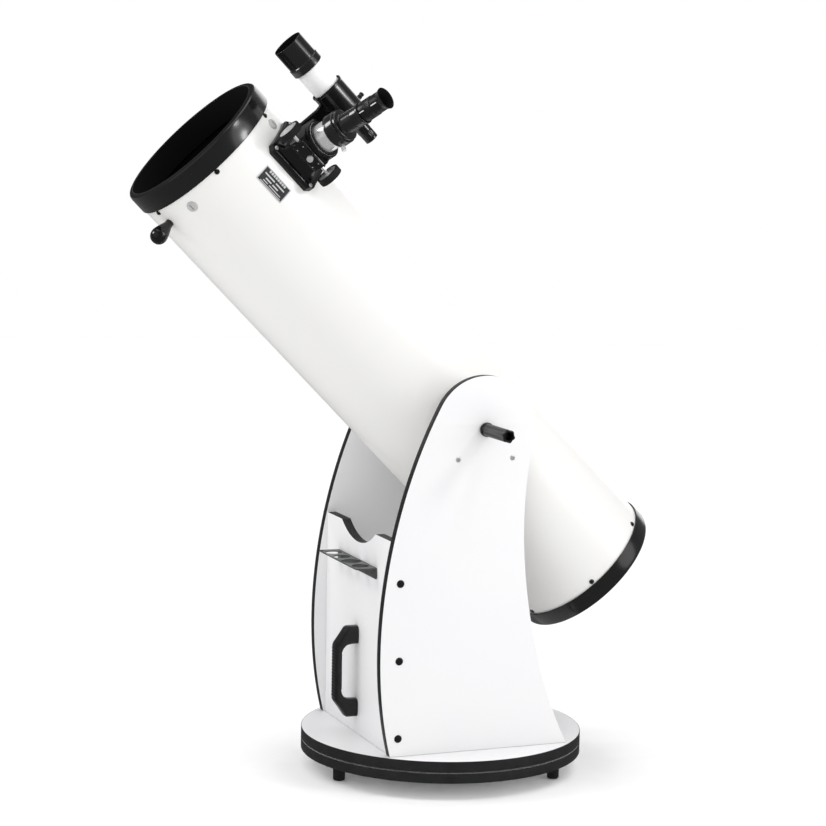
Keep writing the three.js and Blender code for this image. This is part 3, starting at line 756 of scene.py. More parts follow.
def build_rack():
    """A bent sheet on the front board, with three small eyepiece holes and one large."""
    half, reach, drop, sheet = 103, 41, 21, 2
    back = FRONT_BOARD_X - GAP
    radii = (16, 16, 19, 16)
    space = (2 * half - 2 * sum(radii)) / (len(radii) + 1)
    holes = []
    y = half
    for radius in radii:
        y -= space + radius
        holes.append(circle(radius, back - 21.5, y, 64))
        y -= radius
    middle = back - reach / 2
    rim = [(middle + x, y) for x, y in rounded_rectangle(reach / 2, half, 5)]
    shelf = plate(rim, RACK_TOP - sheet, RACK_TOP, holes, 0.4)
    flange = plate(rounded_rectangle(half, drop / 2, 3), 0, sheet, [], 0.4)
    flange = flange.turned(90, "X").turned(90, "Z").moved(back - sheet, 0, RACK_TOP - drop / 2)
    rack = (shelf + flange).marked(0)
    piece("rack_sheet", "rocker", BASE, rack, [F_RACK], "eyepiece_rack")
    for i, y in enumerate((-80, 80), 1):
        at = BASE @ shift(back - sheet, y, RACK_TOP - 12) @ turn(-90, "Y")
        piece(
            f"rack_screw_{i}", "rocker", at, cross_screw(3.6, 1.8), [F_RACK]
        )


def build_handle():
    """A bow handle with a ribbed grip; x is out of the board and z up it."""
    stations = [
        ((0, 104), (0, 138)), ((4, 104), (4, 138)), ((10, 104), (10, 138.3)),
        ((20, 104), (17, 139)), ((24, 106.5), (20, 140)), ((27.5, 112), (23, 141.5)),
        ((36, 124.5), (28, 146.5)), ((43, 134), (30.5, 153)), ((45.2, 139), (31, 158)),
    ]
    rib_count, per_rib = 16, 8
    both_ends = 2 * 190  # the grip's middle is 190 up
    ribs = []
    for k in range(rib_count * per_rib + 1):
        t = k / (rib_count * per_rib)
        proud = 1.3 * abs(sin(pi * rib_count * t))
        ribs.append(((44.5 + proud, 142 + 96 * t), (31.0 - 0.8 * proud, 160 + 64 * t)))
    top = [
        ((x0, both_ends - z0), (x1, both_ends - z1)) for (x0, z0), (x1, z1) in reversed(stations)
    ]
    rings = []
    angles = round_angles(40)
    power = 2 / 3.6
    across = np.sign(np.cos(angles)) * np.abs(np.cos(angles)) ** power
    wide = np.sign(np.sin(angles)) * np.abs(np.sin(angles)) ** power
    for (outer_x, outer_z), (inner_x, inner_z) in stations + ribs + top:
        middle_x, middle_z = (outer_x + inner_x) / 2, (outer_z + inner_z) / 2
        half_x, half_z = (outer_x - inner_x) / 2, (outer_z - inner_z) / 2
        x = FRONT_BOARD_X - GAP - (middle_x + half_x * across)
        rings.append(np.column_stack([x, 13 * wide, middle_z + half_z * across]))
    piece("bow_handle", "rocker", BASE, loft(rings), [F_PLASTIC], "carry_handle", smooth=50)


def build_rocker():
    piece(
        "rocker_disc", "rocker", BASE @ shift(z=ROCKER_BOARD_Z), base_disc(5.5, 1.5), BOARD_FINISH,
        "rocker_base_board"
    )
    build_panel("near", 1)
    build_panel("far", -1)
    board = plate(front_board_outline(), FRONT_BOARD_X, FRONT_BOARD_X + BOARD, [], 0.8)
    piece("cross_board", "rocker", CROSS_BOARD, board, BOARD_FINISH, "front_board")
    build_rack()
    build_handle()


# ---- Tube ----


def cut_away(thing, form, place):
    """Cuts a form out of a piece."""
    cutter = add_object("cutter", mesh_of("cutter", form), place)
    modifier = thing.modifiers.new("Cut", "BOOLEAN")
    modifier.object = cutter
    modifier.operation = "DIFFERENCE"
    modifier.solver = "EXACT"
    modifier.use_self = True
    bpy.context.view_layer.update()
    solved = thing.evaluated_get(bpy.context.evaluated_depsgraph_get())
    mesh = bpy.data.meshes.new_from_object(solved)
    thing.modifiers.clear()
    thing.data = mesh
    bpy.data.objects.remove(cutter)


def tube_shell():
    low, high = TUBE_REAR + 4, TUBE_FRONT - 4
    wall = [(TUBE_R, low, 0), (TUBE_R, high, 1), (TUBE_INNER, high), (TUBE_INNER, low)]
    return revolve(wall, 256, loop=True)


def end_ring(lip_inner, width):
    """A cast end ring with a rounded face; its lip inside the tube takes the screws."""
    skirt = TUBE_R + 0.2
    lip = TUBE_INNER - GAP
    profile = [
        (lip_inner, -9, 1), (lip_inner, width - 1.5, 0), (lip_inner, width),
        (lip_inner + 1, width, 1), (RING_R - 6, width), (RING_R - 2.5, width - 1.6, 0),
        (RING_R - 0.8, width - 4), (RING_R, width - 9), (RING_R, 0), (skirt, 0),
        (skirt, RING_W - 3.5), (lip, RING_W - 3.5, 1), (lip, -9),
    ]
    return lathe(profile, 1.6, 256, loop=True)


def star_outline(hub, half_width, reach, fillet_radius):
    """A hub with an arm at each of the collimation screws."""
    root = sqrt(hub**2 - half_width**2)
    spread = degrees(asin(half_width / hub))
    outline = []
    for angle in sorted(-a % 360 for a in ARM_ANGLES):
        c, s = cos(radians(angle)), sin(radians(angle))
        for along, side in ((root, -1), (reach, -1), (reach, 1), (root, 1)):
            across = side * half_width
            outline.append((along * c - across * s, along * s + across * c))
        outline += arc((0, 0), hub, angle + spread, angle + 120 - spread, 14)[1:-1]
    return fillet(outline, fillet_radius, closed=True, steps=4)


def at_arms(radius):
    """Points (x, y) on a circle, one at each arm."""
    angles = [radians(angle) for angle in ARM_ANGLES]
    return [(radius * cos(a), -radius * sin(a)) for a in angles]


def build_rings():
    front = TUBE @ shift(z=TUBE_FRONT - RING_W)
    piece(
        "ring_front", "tube", front, end_ring(137, FRONT_RING_W), [F_CAST, F_INSIDE], "front_ring"
    )
    rear = TUBE @ shift(z=TUBE_REAR + RING_W) @ turn(180, "X")
    piece("ring_rear", "tube", rear, end_ring(135, RING_W), [F_CAST, F_INSIDE], "rear_ring")
    holes = [circle(3.4, x, y, 24) for x, y in at_arms(COLLIMATION_R) + at_arms(LOCK_R)]
    arms = plate(star_outline(42, 18, 138, 9), TUBE_REAR + 0.4, TUBE_REAR + 10, holes, 1.2)
    piece("rear_spider", "tube", TUBE, arms.marked(0), [F_CAST])
    screw = cross_screw(4.8, 2.4)
    for ring, s, first in RING_SCREWS:
        for i in range(6):
            at = round_tube(first - 60 * i, s, TUBE_R) @ Z_TO_X
            piece(f"ring_screw_{ring}_{i + 1}", "tube", at, screw, [F_ANODISED])


def tube_patch(half_y, half_z, corner, height, y=0.0, z=0.0):
    """A thin rounded rectangle that lies on the tube, y round it and z along it."""
    rings = []
    for sweep in np.radians(np.linspace(-90, 90, 25)):
        across = half_y * sin(sweep)
        over = max(0.0, abs(across) - (half_y - corner))
        reach = half_z - corner + sqrt(max(0.0, corner**2 - over**2))
        angle = (y + across) / TUBE_R
        corners = ((0, -reach), (height, -reach), (height, reach), (0, reach))
        sides = [(TUBE_R + up, z + along) for up, along in corners]
        rings.append([(r * cos(angle), r * sin(angle), along) for r, along in sides])
    return loft(rings)


def build_label():
    """A dark plate with a silver border and rows of plain dashes, curved to the tube."""
    half_width, half_length = 16.0, 31.4
    at = round_tube(LABEL_BETA, LABEL_S)
    border = tube_patch(half_width, half_length, 1.2, 0.6)
    field = tube_patch(half_width - 2.1, half_length - 2.1, 0.6, 0.7)
    piece("label_plate", "tube", at, border + field.marked(1), [F_BORDER, F_PLATE])
    rows = (
        (11.0, 4.4, [(-20 + 5.2 * k, -16 + 5.2 * k) for k in range(8)]),
        (3.2, 2.6, [(-23, -2), (1, 25)]),
        (-3.4, 2.6, [(-13, 1), (4, 18)]),
        (-8.6, 1.6, [(-24, 5), (8, 20)]),
        (-12.4, 1.2, [(-27, 24)]),
    )
    bars = [
        tube_patch(thick / 2, (high - low) / 2, 0.2 * thick, 0.8, y, (low + high) / 2)
        for y, thick, spans in rows for low, high in spans
    ]
    piece("label_bars", "tube", at, joined(bars), [F_BORDER])


def build_bearings():
    """A disc on each side whose inner face is hollowed to the round of the tube."""
    disc = lathe([
        (5.3, 120), (62.8, 120), (62.8, 150), (60.8, 152), (60.8, 158), (62.8, 160), (62.8, 168.5),
        (57, 168.5), (56, 166.5), (20, 166.5), (19, 168.5), (5.3, 168.5),
    ], 1.0, 160, loop=True)
    surface = np.sqrt(TUBE_R**2 - disc.points[:, 0] ** 2)
    disc.points[:, 2] = np.maximum(disc.points[:, 2], surface)
    for side, out in SIDES:
        piece(f"trunnion_{side}", "tube", TUBE @ out, disc, [F_PLASTIC], f"altitude_bearing_{side}")


def build_tension_handles():
    foot_y = PANEL_Y + 0.5
    end = foot_y + 102
    profile = [
        (0, 150), (4.8, 150), (4.8, foot_y), (12.6, foot_y), (13, foot_y + 1), (13, foot_y + 6),
        (11.2, foot_y + 7), (11.6, foot_y + 10), (11.6, end - 3), (10.8, end - 0.6), (9.6, end),
        (8.2, end), (7.5, end - 1), (7.2, end - 20), (0, end - 22),
    ]

    def lobes(radius, z, angles):
        if radius < 9 or z < foot_y + 8:
            return np.full(len(angles), float(radius))
        return radius + 0.9 * np.cos(6 * angles)

    grip = lathe(profile, 1.0, 144, shape=lobes)
    for side, out in SIDES:
        piece(
            f"clamp_handle_{side}", f"tension_handle_{side}", TUBE @ out, grip, [F_PLASTIC],
            f"tension_handle_{side}"
        )


def build_guide_knob():
    profile = [
        (0, 141), (7.5, 141), (7.5, 147), (7.8, 152), (10, 158), (14, 170), (15.5, 178),
        (14.4, 185.5), (10.5, 191), (5, 194), (0, 194.5),
    ]
    knob = revolve(fillet(profile, 14, steps=6), 80).turned(90, "Y")
    piece(
        "aiming_knob", "tube", round_tube(GUIDE_KNOB_BETA, GUIDE_KNOB_S), on_tube(knob), [F_GLOSS],
        "guide_knob", smooth=60
    )


def build_spider():
    low, high = SPIDER_S - 12, SPIDER_S + 12
    hub = rod(15, low, high, 1.2, 64, 3.4)
    vane = block((10, -0.8, low), (TUBE_INNER - 3.5, 0.8, high))
    vane += block((TUBE_INNER - 6, -7, low + 4), (TUBE_INNER - 1.2, 7, high - 4))
    vanes = [vane.turned(SPIDER_BETA - 90 + 90 * k) for k in range(4)]
    piece("vane_spider", "tube", TUBE, joined([hub, *vanes]), [F_ANODISED], "spider", edge=0.25)
    bolt = cross_screw(10, 3.2, slots=1)
    for k in range(4):
        at = round_tube(SPIDER_BETA + 90 * k, SPIDER_S, TUBE_R) @ Z_TO_X
        piece(f"vane_bolt_{k + 1}", "tube", at, bolt, [F_BOLT], smooth=50)


def build_tube():
    shell = piece("tube_shell", "tube", TUBE, tube_shell(), [F_TUBE, F_INSIDE], "optical_tube")
    cut_away(shell, drawtube_way(3), FOCUSER @ Z_TO_X)
    build_rings()
    build_label()
    build_bearings()
    build_tension_handles()
    build_guide_knob()
    build_spider()


# ---- Mirrors ----


def slant(radius, set_back):
    """A rod's outline on a plane at 45 degrees, which is set back from the mirror's face."""
    angles = round_angles(72)
    x = radius * np.cos(angles)
    return np.column_stack([x, radius * np.sin(angles), x + set_back * sqrt(2)])


def build_secondary():
    thickness, top = 10, SPIDER_S - 15 - FOCUSER_S
    glass = loft([slant(29, 0), slant(29, thickness)], [1])
    glass.marks[-2] = 0  # the face, which is the first of the two caps
    piece(
        "diagonal_mirror", "secondary", FOCUSER, glass, [F_MIRROR, F_GROUND], "secondary_mirror",
        edge=0.5
    )
    low = slant(27, thickness + GAP)
    holder = loft([low, low * (1, 1, 0) + (0, 0, top)])
    piece(
        "diagonal_holder", "secondary", FOCUSER, holder, [F_ANODISED], "secondary_holder", edge=0.8
    )
    bolt = rod(3, 628, 663, 0.4, 32) + hexagon_head(11, 661.3, 667)
    at = round_tube(FOCUSER_BETA)
    piece("centre_bolt", "secondary_bolt", at, bolt, [F_STEEL], "secondary_bolt")


def build_primary():
    depth = [(r, r**2 / (4 * FOCAL_LENGTH)) for r in np.linspace(126, 0, 25)]
    vertex = MIRROR_H - depth[0][1]
    face = [(r, vertex + d) for r, d in depth]
    profile = [
        (0, 0, 1), (126.4, 0), (MIRROR_R, 0.6), (MIRROR_R, MIRROR_H - 1), (126, MIRROR_H, 0),
        *face[1:],
    ]
    at = TUBE @ shift(z=MIRROR_BACK)
    piece(
        "objective_mirror", "mirror_cell", at, revolve(profile, 192), [F_MIRROR, F_GROUND],
        "primary_mirror"
    )
    spot = rod(4.5, vertex, vertex + 0.15, 0.05, 32, 2.5)
    piece("centre_mark", "mirror_cell", at, spot, [F_PLASTIC])

    holes = [circle(30)] + [circle(3.5, x, y, 24) for x, y in at_arms(COLLIMATION_R)]
    cell = plate(star_outline(72, 32, 124, 8), 0, 8, holes, 0.8).marked(0)
    clip_top = MIRROR_BACK - CELL_BACK + MIRROR_H
    pads = []
    for angle in ARM_ANGLES:
        post = block((MIRROR_R + GAP, -10, 0), (132, 10, clip_top + 4))
        foot = block((118, -10, 0), (131, 10, 8))
        finger = block((118, -10, clip_top + 1.6), (131, 10, clip_top + 4))
        cell += joined([post, foot, finger]).turned(-angle)
        pad = block((118.5, -9, clip_top + GAP), (MIRROR_R - 0.5, 9, clip_top + 1.6))
        pads.append(pad.turned(-angle))
    at = TUBE @ shift(z=CELL_BACK)
    piece("cell_plate", "mirror_cell", at, cell, [F_CAST], "mirror_cell", edge=0.6)
    piece("clip_pads", "mirror_cell", at, joined(pads), [F_RUBBER], edge=0.3)

    head = [
        (0, -440), (10.5, -440), (12, -438.5), (12, -437.5), (12, -430), (12, -429.5), (10.5, -428),
        (7, -428), (7, -424.3), (3, -424.3), (3, -398), (0, -398),
    ]
    knob = lathe(head, 0.6, 120, shape=ripples(20, 0.9, -438, -429.6))
    lock = [
        (0, -438), (6.4, -438), (7, -437.4), (7, -436.5), (7, -427.5), (7, -426.6), (6.4, -426),
        (2.5, -426), (2.5, -407.5), (0, -407.5),
    ]
    screw = lathe(lock, 0.4, 96, shape=ripples(24, 0.5, -437, -427))
    spring = coil(5.6, 0.8, TUBE_REAR + 12.3, CELL_BACK - 1, 2.5)
    for i, ((kx, ky), (lx, ly)) in enumerate(zip(at_arms(COLLIMATION_R), at_arms(LOCK_R)), 1):
        piece(
            f"cell_knob_{i}", f"collimation_knob_{i}", TUBE @ shift(kx, ky), knob, [F_PLASTIC],
            f"collimation_knob_{i}"
        )
        piece(
            f"cell_lock_{i}", f"lock_screw_{i}", TUBE @ shift(lx, ly), screw, [F_STEEL],
            f"lock_screw_{i}"
        )
        piece(f"cell_spring_{i}", "mirror_cell", TUBE @ shift(kx, ky), spring, [F_STEEL])


def coil(radius, wire, z0, z1, turns):
    """A compression spring."""
    rings = []
    around = round_angles(10)
    for t in np.linspace(0, 1, int(turns * 24) + 1):
        angle = 2 * pi * turns * t
        z = z0 + (z1 - z0) * t
        r = radius + wire * np.cos(around)
        rings.append(np.column_stack([r * cos(angle), r * sin(angle), z + wire * np.sin(around)]))
    return loft(rings)


# ---- Focuser ----
# In this frame X points out of the tube, Z along it and Y across it towards the top.


def section(x, half_y, half_z, corner):
    """A rounded rectangle across X."""
    return [(x, y, z) for y, z in rounded_rectangle(half_y, half_z, corner, 6)]


def drawtube_way(clearance):
    """The space that the drawtube slides in, with clearance all round."""
    radius = DRAWTUBE_R + clearance
    return revolve([(0, 100), (radius, 100), (radius, BODY_TOP + 5), (0, BODY_TOP + 5)], 96)


def build_focuser_base():
    half_width, half_length, cut = 47, 54, 9
    corners = []
    for sy, sz in ((1, 1), (-1, 1), (-1, -1), (1, -1)):
        pair = [(half_width, half_length - cut), (half_width - cut, half_length)]
        pair = [(sy * y, sz * z) for y, z in pair]
        corners += pair if sy * sz > 0 else pair[::-1]
    rim = np.array(resampled(fillet(corners, 3, closed=True), 1.5))
    rings = [np.column_stack([np.full(len(rim), 100.0), rim])]
    for below, inset in ((6, 0), (2, 0), (0.7, 0.4), (0, 1.6)):
        x = np.full(len(rim), float(PLATE_TOP - below))
        rings.append(np.column_stack([x, rim * (1 - inset / 50)]))
    saddle = piece("saddle_plate", "tube", FOCUSER, on_tube(loft(rings)), [F_GLOSS], "focuser_base")
    cut_away(saddle, drawtube_way(0.5), FOCUSER @ Z_TO_X)
    for i, (y, z) in enumerate(((-41, -44.5), (-41, 44.5), (41, 44.5), (41, -44.5)), 1):
        at = FOCUSER @ shift(PLATE_TOP, y, z) @ Z_TO_X
        piece(f"saddle_screw_{i}", "tube", at, socket_screw(3.9, 2.4), [F_STEEL])


def build_focuser_body():
    stations = [
        (PLATE_TOP + 0.2, 40, 47, 15), (PLATE_TOP + 1.6, 39.5, 46.5, 15),
        (PLATE_TOP + 3, 38, 43.5, 14), (157, 35.8, 39.5, 12), (162, 34.2, 36, 9),
        (168, 33.4, 33.4, 6), (173, 33, 32.2, 3.5), (200, 33, 32, 3.5), (201.6, 32.6, 31.6, 3.2),
        (202.4, 31.8, 30.8, 2.6),
    ]
    trunk = loft([section(*station) for station in stations])
    flank = loft([
        [(x, y, z) for x, z in rounded_rectangle(11.5 - inset, 30 - inset, 3 - inset)]
        for y, inset in ((-20, 0.0), (-39.6, 0.0), (-40.6, 0.4), (-41, 1.2))
    ]).moved(187.5, 0, 0)
    collar = lathe([
        (27.5, 198), (36, 198), (36, 204.6), (35, 205.2), (35, 205.8), (36, 206.4), (36, 210.2),
        (33.6, 210.5, 1), (33.6, 210.9, 0), (32.8, 211.3), (32.8, BODY_TOP), (27.5, BODY_TOP),
    ], 0.5, 128, loop=True)
    body = trunk + flank
    housing = piece("focuser_housing", "tube", FOCUSER, body, [F_GLOSS], "focuser_body")
    cut_away(housing, drawtube_way(0.5), FOCUSER @ Z_TO_X)
    piece("focuser_collar", "tube", FOCUSER @ Z_TO_X, collar, [F_GLOSS, F_CHROME])
    for i, (x, z) in enumerate(((180.5, 20), (194.5, 20), (180.5, -20), (194.5, -20)), 1):
        at = FOCUSER @ shift(x, -41, z) @ Z_TO_NEAR
        piece(f"tension_grub_{i}", "tube", at, socket_screw(1.2, 0.3), [F_STEEL])


def build_focus_shaft():
    shaft_at = FOCUSER @ shift(SHAFT_X, SHAFT_Y, 0)
    end = KNOB_S + 4
    shaft = rod(3, -end, end, 0.4, 48)
    piece(
        "pinion_shaft", "focus_knobs", shaft_at, shaft, [F_CHROME], "focus_shaft",
    )
    profile = [
        (3.3, -6.2, 1), (7.5, -6.2), (8.2, -5.2), (9.5, -5.2), (10, -6), (17.4, -6),
        (18.2, -5.2, 0), (18.8, -6.5), (21.2, -6.5), (KNOB_R, -5.7), (KNOB_R, -5.2), (KNOB_R, 5.2),
        (KNOB_R, 5.7), (21.2, 6.5), (18.8, 6.5), (18.2, 5.2, 1), (17.4, 6), (10, 6), (9.3, 4.8),
        (7.2, 4.8), (6.6, 6.4), (3, 6.4), (2.6, 5.2), (0, 5.2),
    ]
    knob = lathe(profile, 0.4, 240, shape=ripples(60, 0.5, -5.3, 5.3))
    for which, z, flip in (("front", KNOB_S, 0), ("rear", -KNOB_S, 180)):
        at = shaft_at @ shift(z=z) @ turn(flip, "X")
        piece(
            f"knob_{which}", "focus_knobs", at, knob, [F_RUBBER, F_FACE], f"focus_knob_{which}"
        )
    at = FOCUSER @ shift(SHAFT_X + 2, 0, -4) @ Z_TO_NEAR
    lock = thumbscrew(34.5, 41.5, 46, 2.4, 5.8, 28)
    piece("focus_lock", "focus_lock_screw", at, lock, [F_FACE], "focus_lock_screw")


def build_drawtube():
    out = FOCUSER @ Z_TO_X
    tube = lathe([
        (DRAWTUBE_BORE, 150, 1), (DRAWTUBE_R, 150, 0), (DRAWTUBE_R, DRAWTUBE_TOP),
        (DRAWTUBE_BORE, DRAWTUBE_TOP, 1),
    ], 0.4, 160, loop=True)
    piece("chrome_drawtube", "drawtube", out, tube, [F_CHROME, F_INSIDE], "drawtube")
    top = DRAWTUBE_TOP + GAP
    ring = lathe([
        (DRAWTUBE_BORE, top), (30, top), (31, top + 1), (31, top + 4), (30.2, top + 4.6),
        (30.2, top + 6), (31, top + 6.6), (31, 254), (31, 256.4), (29.4, 257.8),
        (DRAWTUBE_BORE, 257.8),
    ], 0.7, 160, loop=True)
    piece("compression_ring", "drawtube", out, ring, [F_ANODISED], "adapter_ring")
    at = FOCUSER @ shift(247) @ turn(40, "X") @ Z_TO_NEAR
    screw = thumbscrew(25.6, 35, 44, 2.2, 4, 18)
    piece(
        "ring_thumbscrew", "adapter_thumbscrew", at, screw, [F_FACE], "adapter_thumbscrew",
    )


def build_adapter_and_eyepiece():
    out = FOCUSER @ Z_TO_X
    adapter = lathe([
        (16.1, 228), (25.2, 228), (25.2, 258.2), (29, 258.2), (29, 262.6), (27.4, 263.6),
        (21, 264.4), (19.4, 266), (19, 269), (19, 288), (18.5, 288.6), (18.5, 289.6), (19, 290.2),
        (19, 302), (20.5, 303.6), (20.5, 308), (16.1, 308),
    ], 0.8, 128, loop=True)
    piece("eyepiece_holder", "eyepiece_adapter", out, adapter, [F_ANODISED], "eyepiece_adapter")
    seat = 308 + GAP
    profile = [
        (0, 284, 1), (15.0, 284), (15.8, 284.8), (15.8, seat, 0), (17.4, seat), (18.3, seat + 0.8),
        (18.3, 320), (17.7, 320.6), (17.7, 321.8), (18.3, 322.4),
        (18.3, 323.4), (18.3, 333), (18.3, 334), (17.4, 335), (17.4, 349), (16.9, 350),
        (17.6, 352.4), (18.8, 355.6), (20.2, 359), (19.6, 359.4, 3), (18, 357), (15.6, 352),
        (14, 347), (13, 342, 2), (7, 342.8), (0, 343.2),
    ]
    body = lathe(profile, 0.5, 192, shape=ripples(40, 0.45, 323.2, 333.2))
    piece(
        "eyepiece_body", "eyepiece", out, body, [F_PLASTIC, F_CHROME, F_LENS, F_INSIDE], "eyepiece"
    )
    # Two thin white strips on the side facing the light: painted highlights for the gleam along the
    # grip, not marks on the eyepiece.
    facing = -116  # degrees round the eyepiece
    marks = [
        block((radius - 0.4, -0.8, low), (radius + 0.25, 0.8, high)).turned(facing)
        for radius, low, high in ((18.3, 309.4, 319.6), (17.4, 335.6, 348.4))
    ]
    piece("eyepiece_painted_highlights", "eyepiece", out, joined(marks), [F_PAINTED_HIGHLIGHT], edge=0.1)


def build_focuser():
    build_focuser_base()
    build_focuser_body()
    build_focus_shaft()
    build_drawtube()
    build_adapter_and_eyepiece()


# ---- Finder ----


def build_finder_mount():
    tube_arc = [(sqrt(TUBE_R**2 - y**2), y) for y in np.linspace(14, -14, 13)]
    profile = [(158, -14), (158, -7.3), (151, -10.3), (151, 10.3), (158, 7.3), (158, 14), *tube_arc]
    shoe = plate(profile, SHOE_LOW, SHOE_HIGH, [], 0.5).marked(0)
    piece("shoe_block", "tube", SHOE, shoe, [F_GLOSS], "finder_shoe")
    at = SHOE @ shift(154.5, 0, (SHOE_LOW + SHOE_HIGH) / 2) @ Z_TO_FAR
    screw = thumbscrew(10, 17, 27, 2.3, 6, 20)
    piece("shoe_thumbscrew", "finder_shoe_screw", at, screw, [F_ANODISED], "finder_shoe_screw")

    wedge = [(151.4, -9.7), (158.6, -6.8), (158.6, 6.8), (151.4, 9.7)]
    dovetail = plate(wedge, SHOE_LOW, SHOE_HIGH, [], 0.4)
    dovetail = dovetail.marked(0).moved(-FINDER_H)
    stations = [
        (-84, 6.6, 24), (-81, 5.6, 21.5), (-76, 5, 20), (-40, 5, 20), (-33, 6, 21.5),
        (-28, 8.5, 24),
    ]
    stem = loft([
        [(x, y, 586 + z) for y, z in rounded_rectangle(half_y, half_z, 2.5)]
        for x, half_y, half_z in stations
    ])
    sleeve = lathe([
        (28.6, 556), (30, 556), (31, 557), (31, 560), (30.4, 561), (30.4, 620.5), (31.2, 621.5),
        (31.2, 625), (30.2, 626), (28.6, 626),
    ], 0.7, 128, loop=True)
    boss = lathe([(0, 29), (6.2, 29), (5.5, 31.5), (5.5, 34), (0, 34)], 0.8, 32).turned(90, "Y")
    bosses = [boss.turned(angle).moved(z=AIMING_S) for angle in AIMING_ANGLES]
    bracket = joined([sleeve, stem, dovetail, *bosses])
    piece("finder_holder", "finder_bracket", FINDER, bracket, [F_CAST], "finder_bracket")
    spool = lathe([
        (0, 27.4), (2.3, 27.4), (2.3, 41), (4.6, 41), (4.6, 43), (3, 44.4), (3, 46.4), (4.6, 47.6),
        (4.6, 50), (2, 50), (0, 49.6),
    ], 0.4, 64)
    screw = spool + rod(4.6, 35.2, 37.8, 0.3, 48, 2.3)
    *screws_at, plunger_at = [
        FINDER @ shift(z=AIMING_S) @ turn(angle) @ Z_TO_X for angle in AIMING_ANGLES
    ]
    for i, at in enumerate(screws_at, 1):
        piece(
            f"finder_screw_{i}", f"aiming_screw_{i}", at, screw, [F_ANODISED], f"aiming_screw_{i}"
        )
    plunger = thumbscrew(27.4, 34.5, 42, 2.3, 4.5, 16)
    piece("finder_plunger", "aiming_plunger", plunger_at, plunger, [F_ANODISED], "aiming_plunger")


def build_finder():
    build_finder_mount()
    tube = lathe([
        (13.3, 541, 1), (15, 541), (15, 552, 0), (16.6, 555), (26, 586), (26, 690, 1), (24.5, 690),
        (24.5, 586.5), (13.3, 552),
    ], 1.2, 128, loop=True)
    # The finder's white is the lightened enamel, its extra brightness painted light.
    piece("finder_barrel", "finder", FINDER, tube, [F_FINDER_PAINTED_LIGHT, F_ANODISED], "finder_tube")
    profile = [
        (0, 503, 1), (8, 502.2, 0), (9.5, 500.4), (12.5, 500), (12.5, 505), (12.5, 506),
        (12.5, 517), (12.5, 518), (13, 520), (13, 534), (14.4, 535), (14.4, 540.6), (12.9, 540.6),
        (12.9, 551), (0, 551),
    ]
    ocular = lathe(profile, 0.5, 144, shape=ripples(30, 0.5, 505.5, 517.5))
    piece(
        "finder_ocular", "finder", FINDER, ocular, [F_GLOSS, F_LENS], "finder_eyepiece",
    )
    bead = [(27.3 + 1.15 * cos(a), 618 + 1.15 * sin(a)) for a in round_angles(12)]
    ring = revolve(bead, 96, loop=True)
    piece("finder_ring_seal", "finder_pivot", FINDER, ring, [F_RUBBER], "finder_o_ring")
    cap = lathe([
        (26.3, 673), (29.2, 673), (30, 674), (30, 687.5), (28.5, 688.6), (28.5, 728.6), (28, 729.8),
        (27.2, 729.8), (27, 728), (27, 697), (23, 697), (23, 691), (26.3, 691),
    ], 0.6, 144, loop=True)
    piece("dew_shield", "finder_objective", FINDER, cap, [F_ANODISED], "finder_dew_cap")
    dome = [(23.4, 692.4)] + [(r, 696.6 - r**2 / 250) for r in np.linspace(22.8, 0, 9)]
    lens = revolve([(0, 692), *dome], 96)
    piece("finder_lens", "finder_objective", FINDER, lens, [F_LENS])


# ---- Stage, light and camera ----


def aimed(place, target):
    """A frame at a place whose -Z points at the target."""
    back = (Vector(place) - Vector(target)).normalized()
    side = Vector((0, 0, 1)).cross(back).normalized()
    matrix = Matrix((side, back.cross(side), back)).transposed().to_4x4()
    matrix.translation = place
    return matrix


def light(name, kind, strength, place):
    """A light and the object that carries it."""
    lamp = bpy.data.lights.new(name, kind)
    lamp.energy = strength
    return lamp, add_object(name, lamp, place)


def soft_light(name, towards, spread, strength):
    """A wide soft light from far away, seen in a direction and as wide as an angle."""
    lamp, _ = light(name, "SUN", strength, aimed(towards, (0, 0, 0)))
    lamp.angle = radians(spread)


def soft_box(name, place, target, size, power):
    """A round light near the front of the tube, its size in metres and its power in watts."""
    lamp, holder = light(name, "AREA", power, aimed(place, target))
    lamp.shape = "DISK"
    lamp.size = size
    holder.visible_camera = False


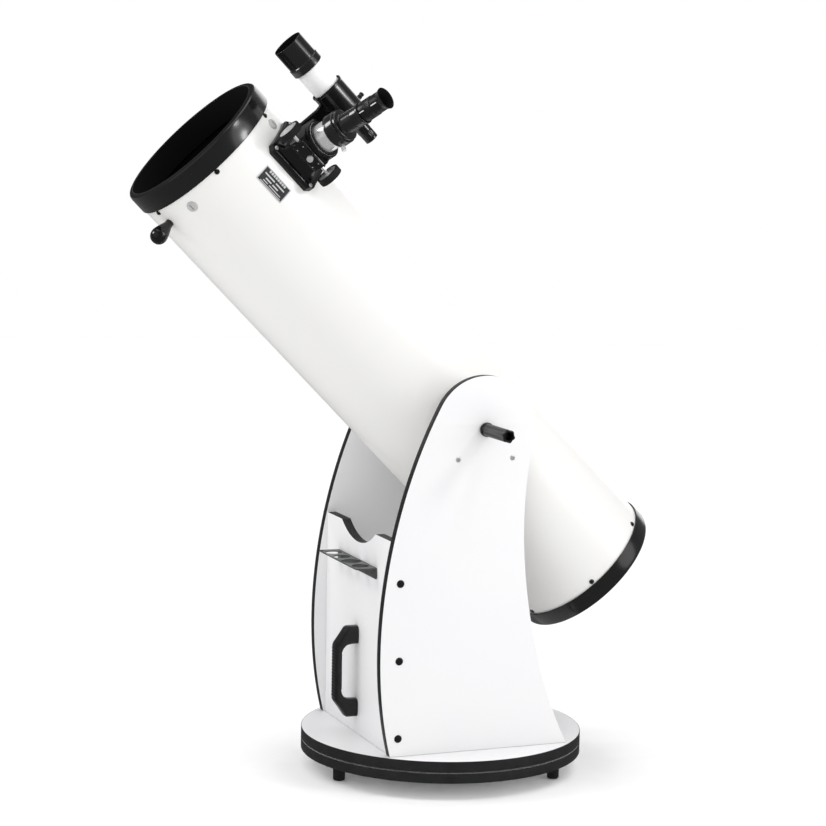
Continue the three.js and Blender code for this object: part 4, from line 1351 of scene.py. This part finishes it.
def build_stage():
    finish = plain("Studio floor", None, (0.98, 0.98, 0.98), 0.85, 60.0, 0.1, 0.02)
    form = revolve([(FLOOR_R, 0), (0, 0)], 96)
    floor = add_object("floor", mesh_of("floor", form, [finish]), shift(z=FLOOR_Z))
    floor.visible_glossy = False

    world = bpy.data.worlds.new("Studio")
    scene.world = world
    world.use_nodes = True
    nodes, links = world.node_tree.nodes, world.node_tree.links
    nodes.clear()
    skies = []
    for red_green, strength in ((0.985, 0.72), (1, 0.22), (1, 1.0)):
        sky = nodes.new("ShaderNodeBackground")
        sky.inputs["Color"].default_value = (red_green, red_green, 1, 1)
        sky.inputs["Strength"].default_value = strength
        skies.append(sky.outputs["Background"])
    shader, reflected, backdrop = skies
    ray = nodes.new("ShaderNodeLightPath")
    for test, sky in (("Is Glossy Ray", reflected), ("Is Camera Ray", backdrop)):
        mix = nodes.new("ShaderNodeMixShader")
        links.new(ray.outputs[test], mix.inputs["Fac"])
        links.new(shader, mix.inputs[1])
        links.new(sky, mix.inputs[2])
        shader = mix.outputs["Shader"]
    links.new(shader, nodes.new("ShaderNodeOutputWorld").inputs["Surface"])

    soft_light("Key", (0.74, -0.62, 0.25), 36, 0.4)
    soft_box("Ring soft box", (0.8, -0.995, 1.55), (-0.388, 0, 1.149), 0.36, 4.5)
    soft_box("Finder soft box", (0.41, -0.995, 1.94), (-0.3, -0.1, 1.45), 0.24, 1.8)
    soft_box("Drawtube soft box", (-1.25, 0.25, 1.53), (-0.19, -0.17, 1.18), 0.4, 5)
    soft_light("Rim", (0.6, 0.8, 0.2), 30, 0.3)
    soft_light("Fill", (-0.95, -0.5, 0.42), 70, 0.3)
    soft_light("Overhead", (0.1, 0.1, 3.0), 60, 0.9)


def build_camera():
    azimuth, elevation, roll = radians(-21.62), radians(6.83), radians(1.01)
    aim, distance = Vector((0.0330, 0, 0.6704)), 4.427
    back = Vector((
        sin(azimuth) * cos(elevation), -cos(azimuth) * cos(elevation), sin(elevation)
    ))
    camera = bpy.data.cameras.new("Camera")
    camera.sensor_width = 36
    camera.lens = 103.92
    place = aimed(aim + back * distance, aim) @ Matrix.Rotation(roll, 4, "Z")
    scene.camera = add_object("Camera", camera, place)


build_base()
build_rocker()
build_tube()
build_secondary()
build_primary()
build_focuser()
build_finder()
build_stage()
build_camera()
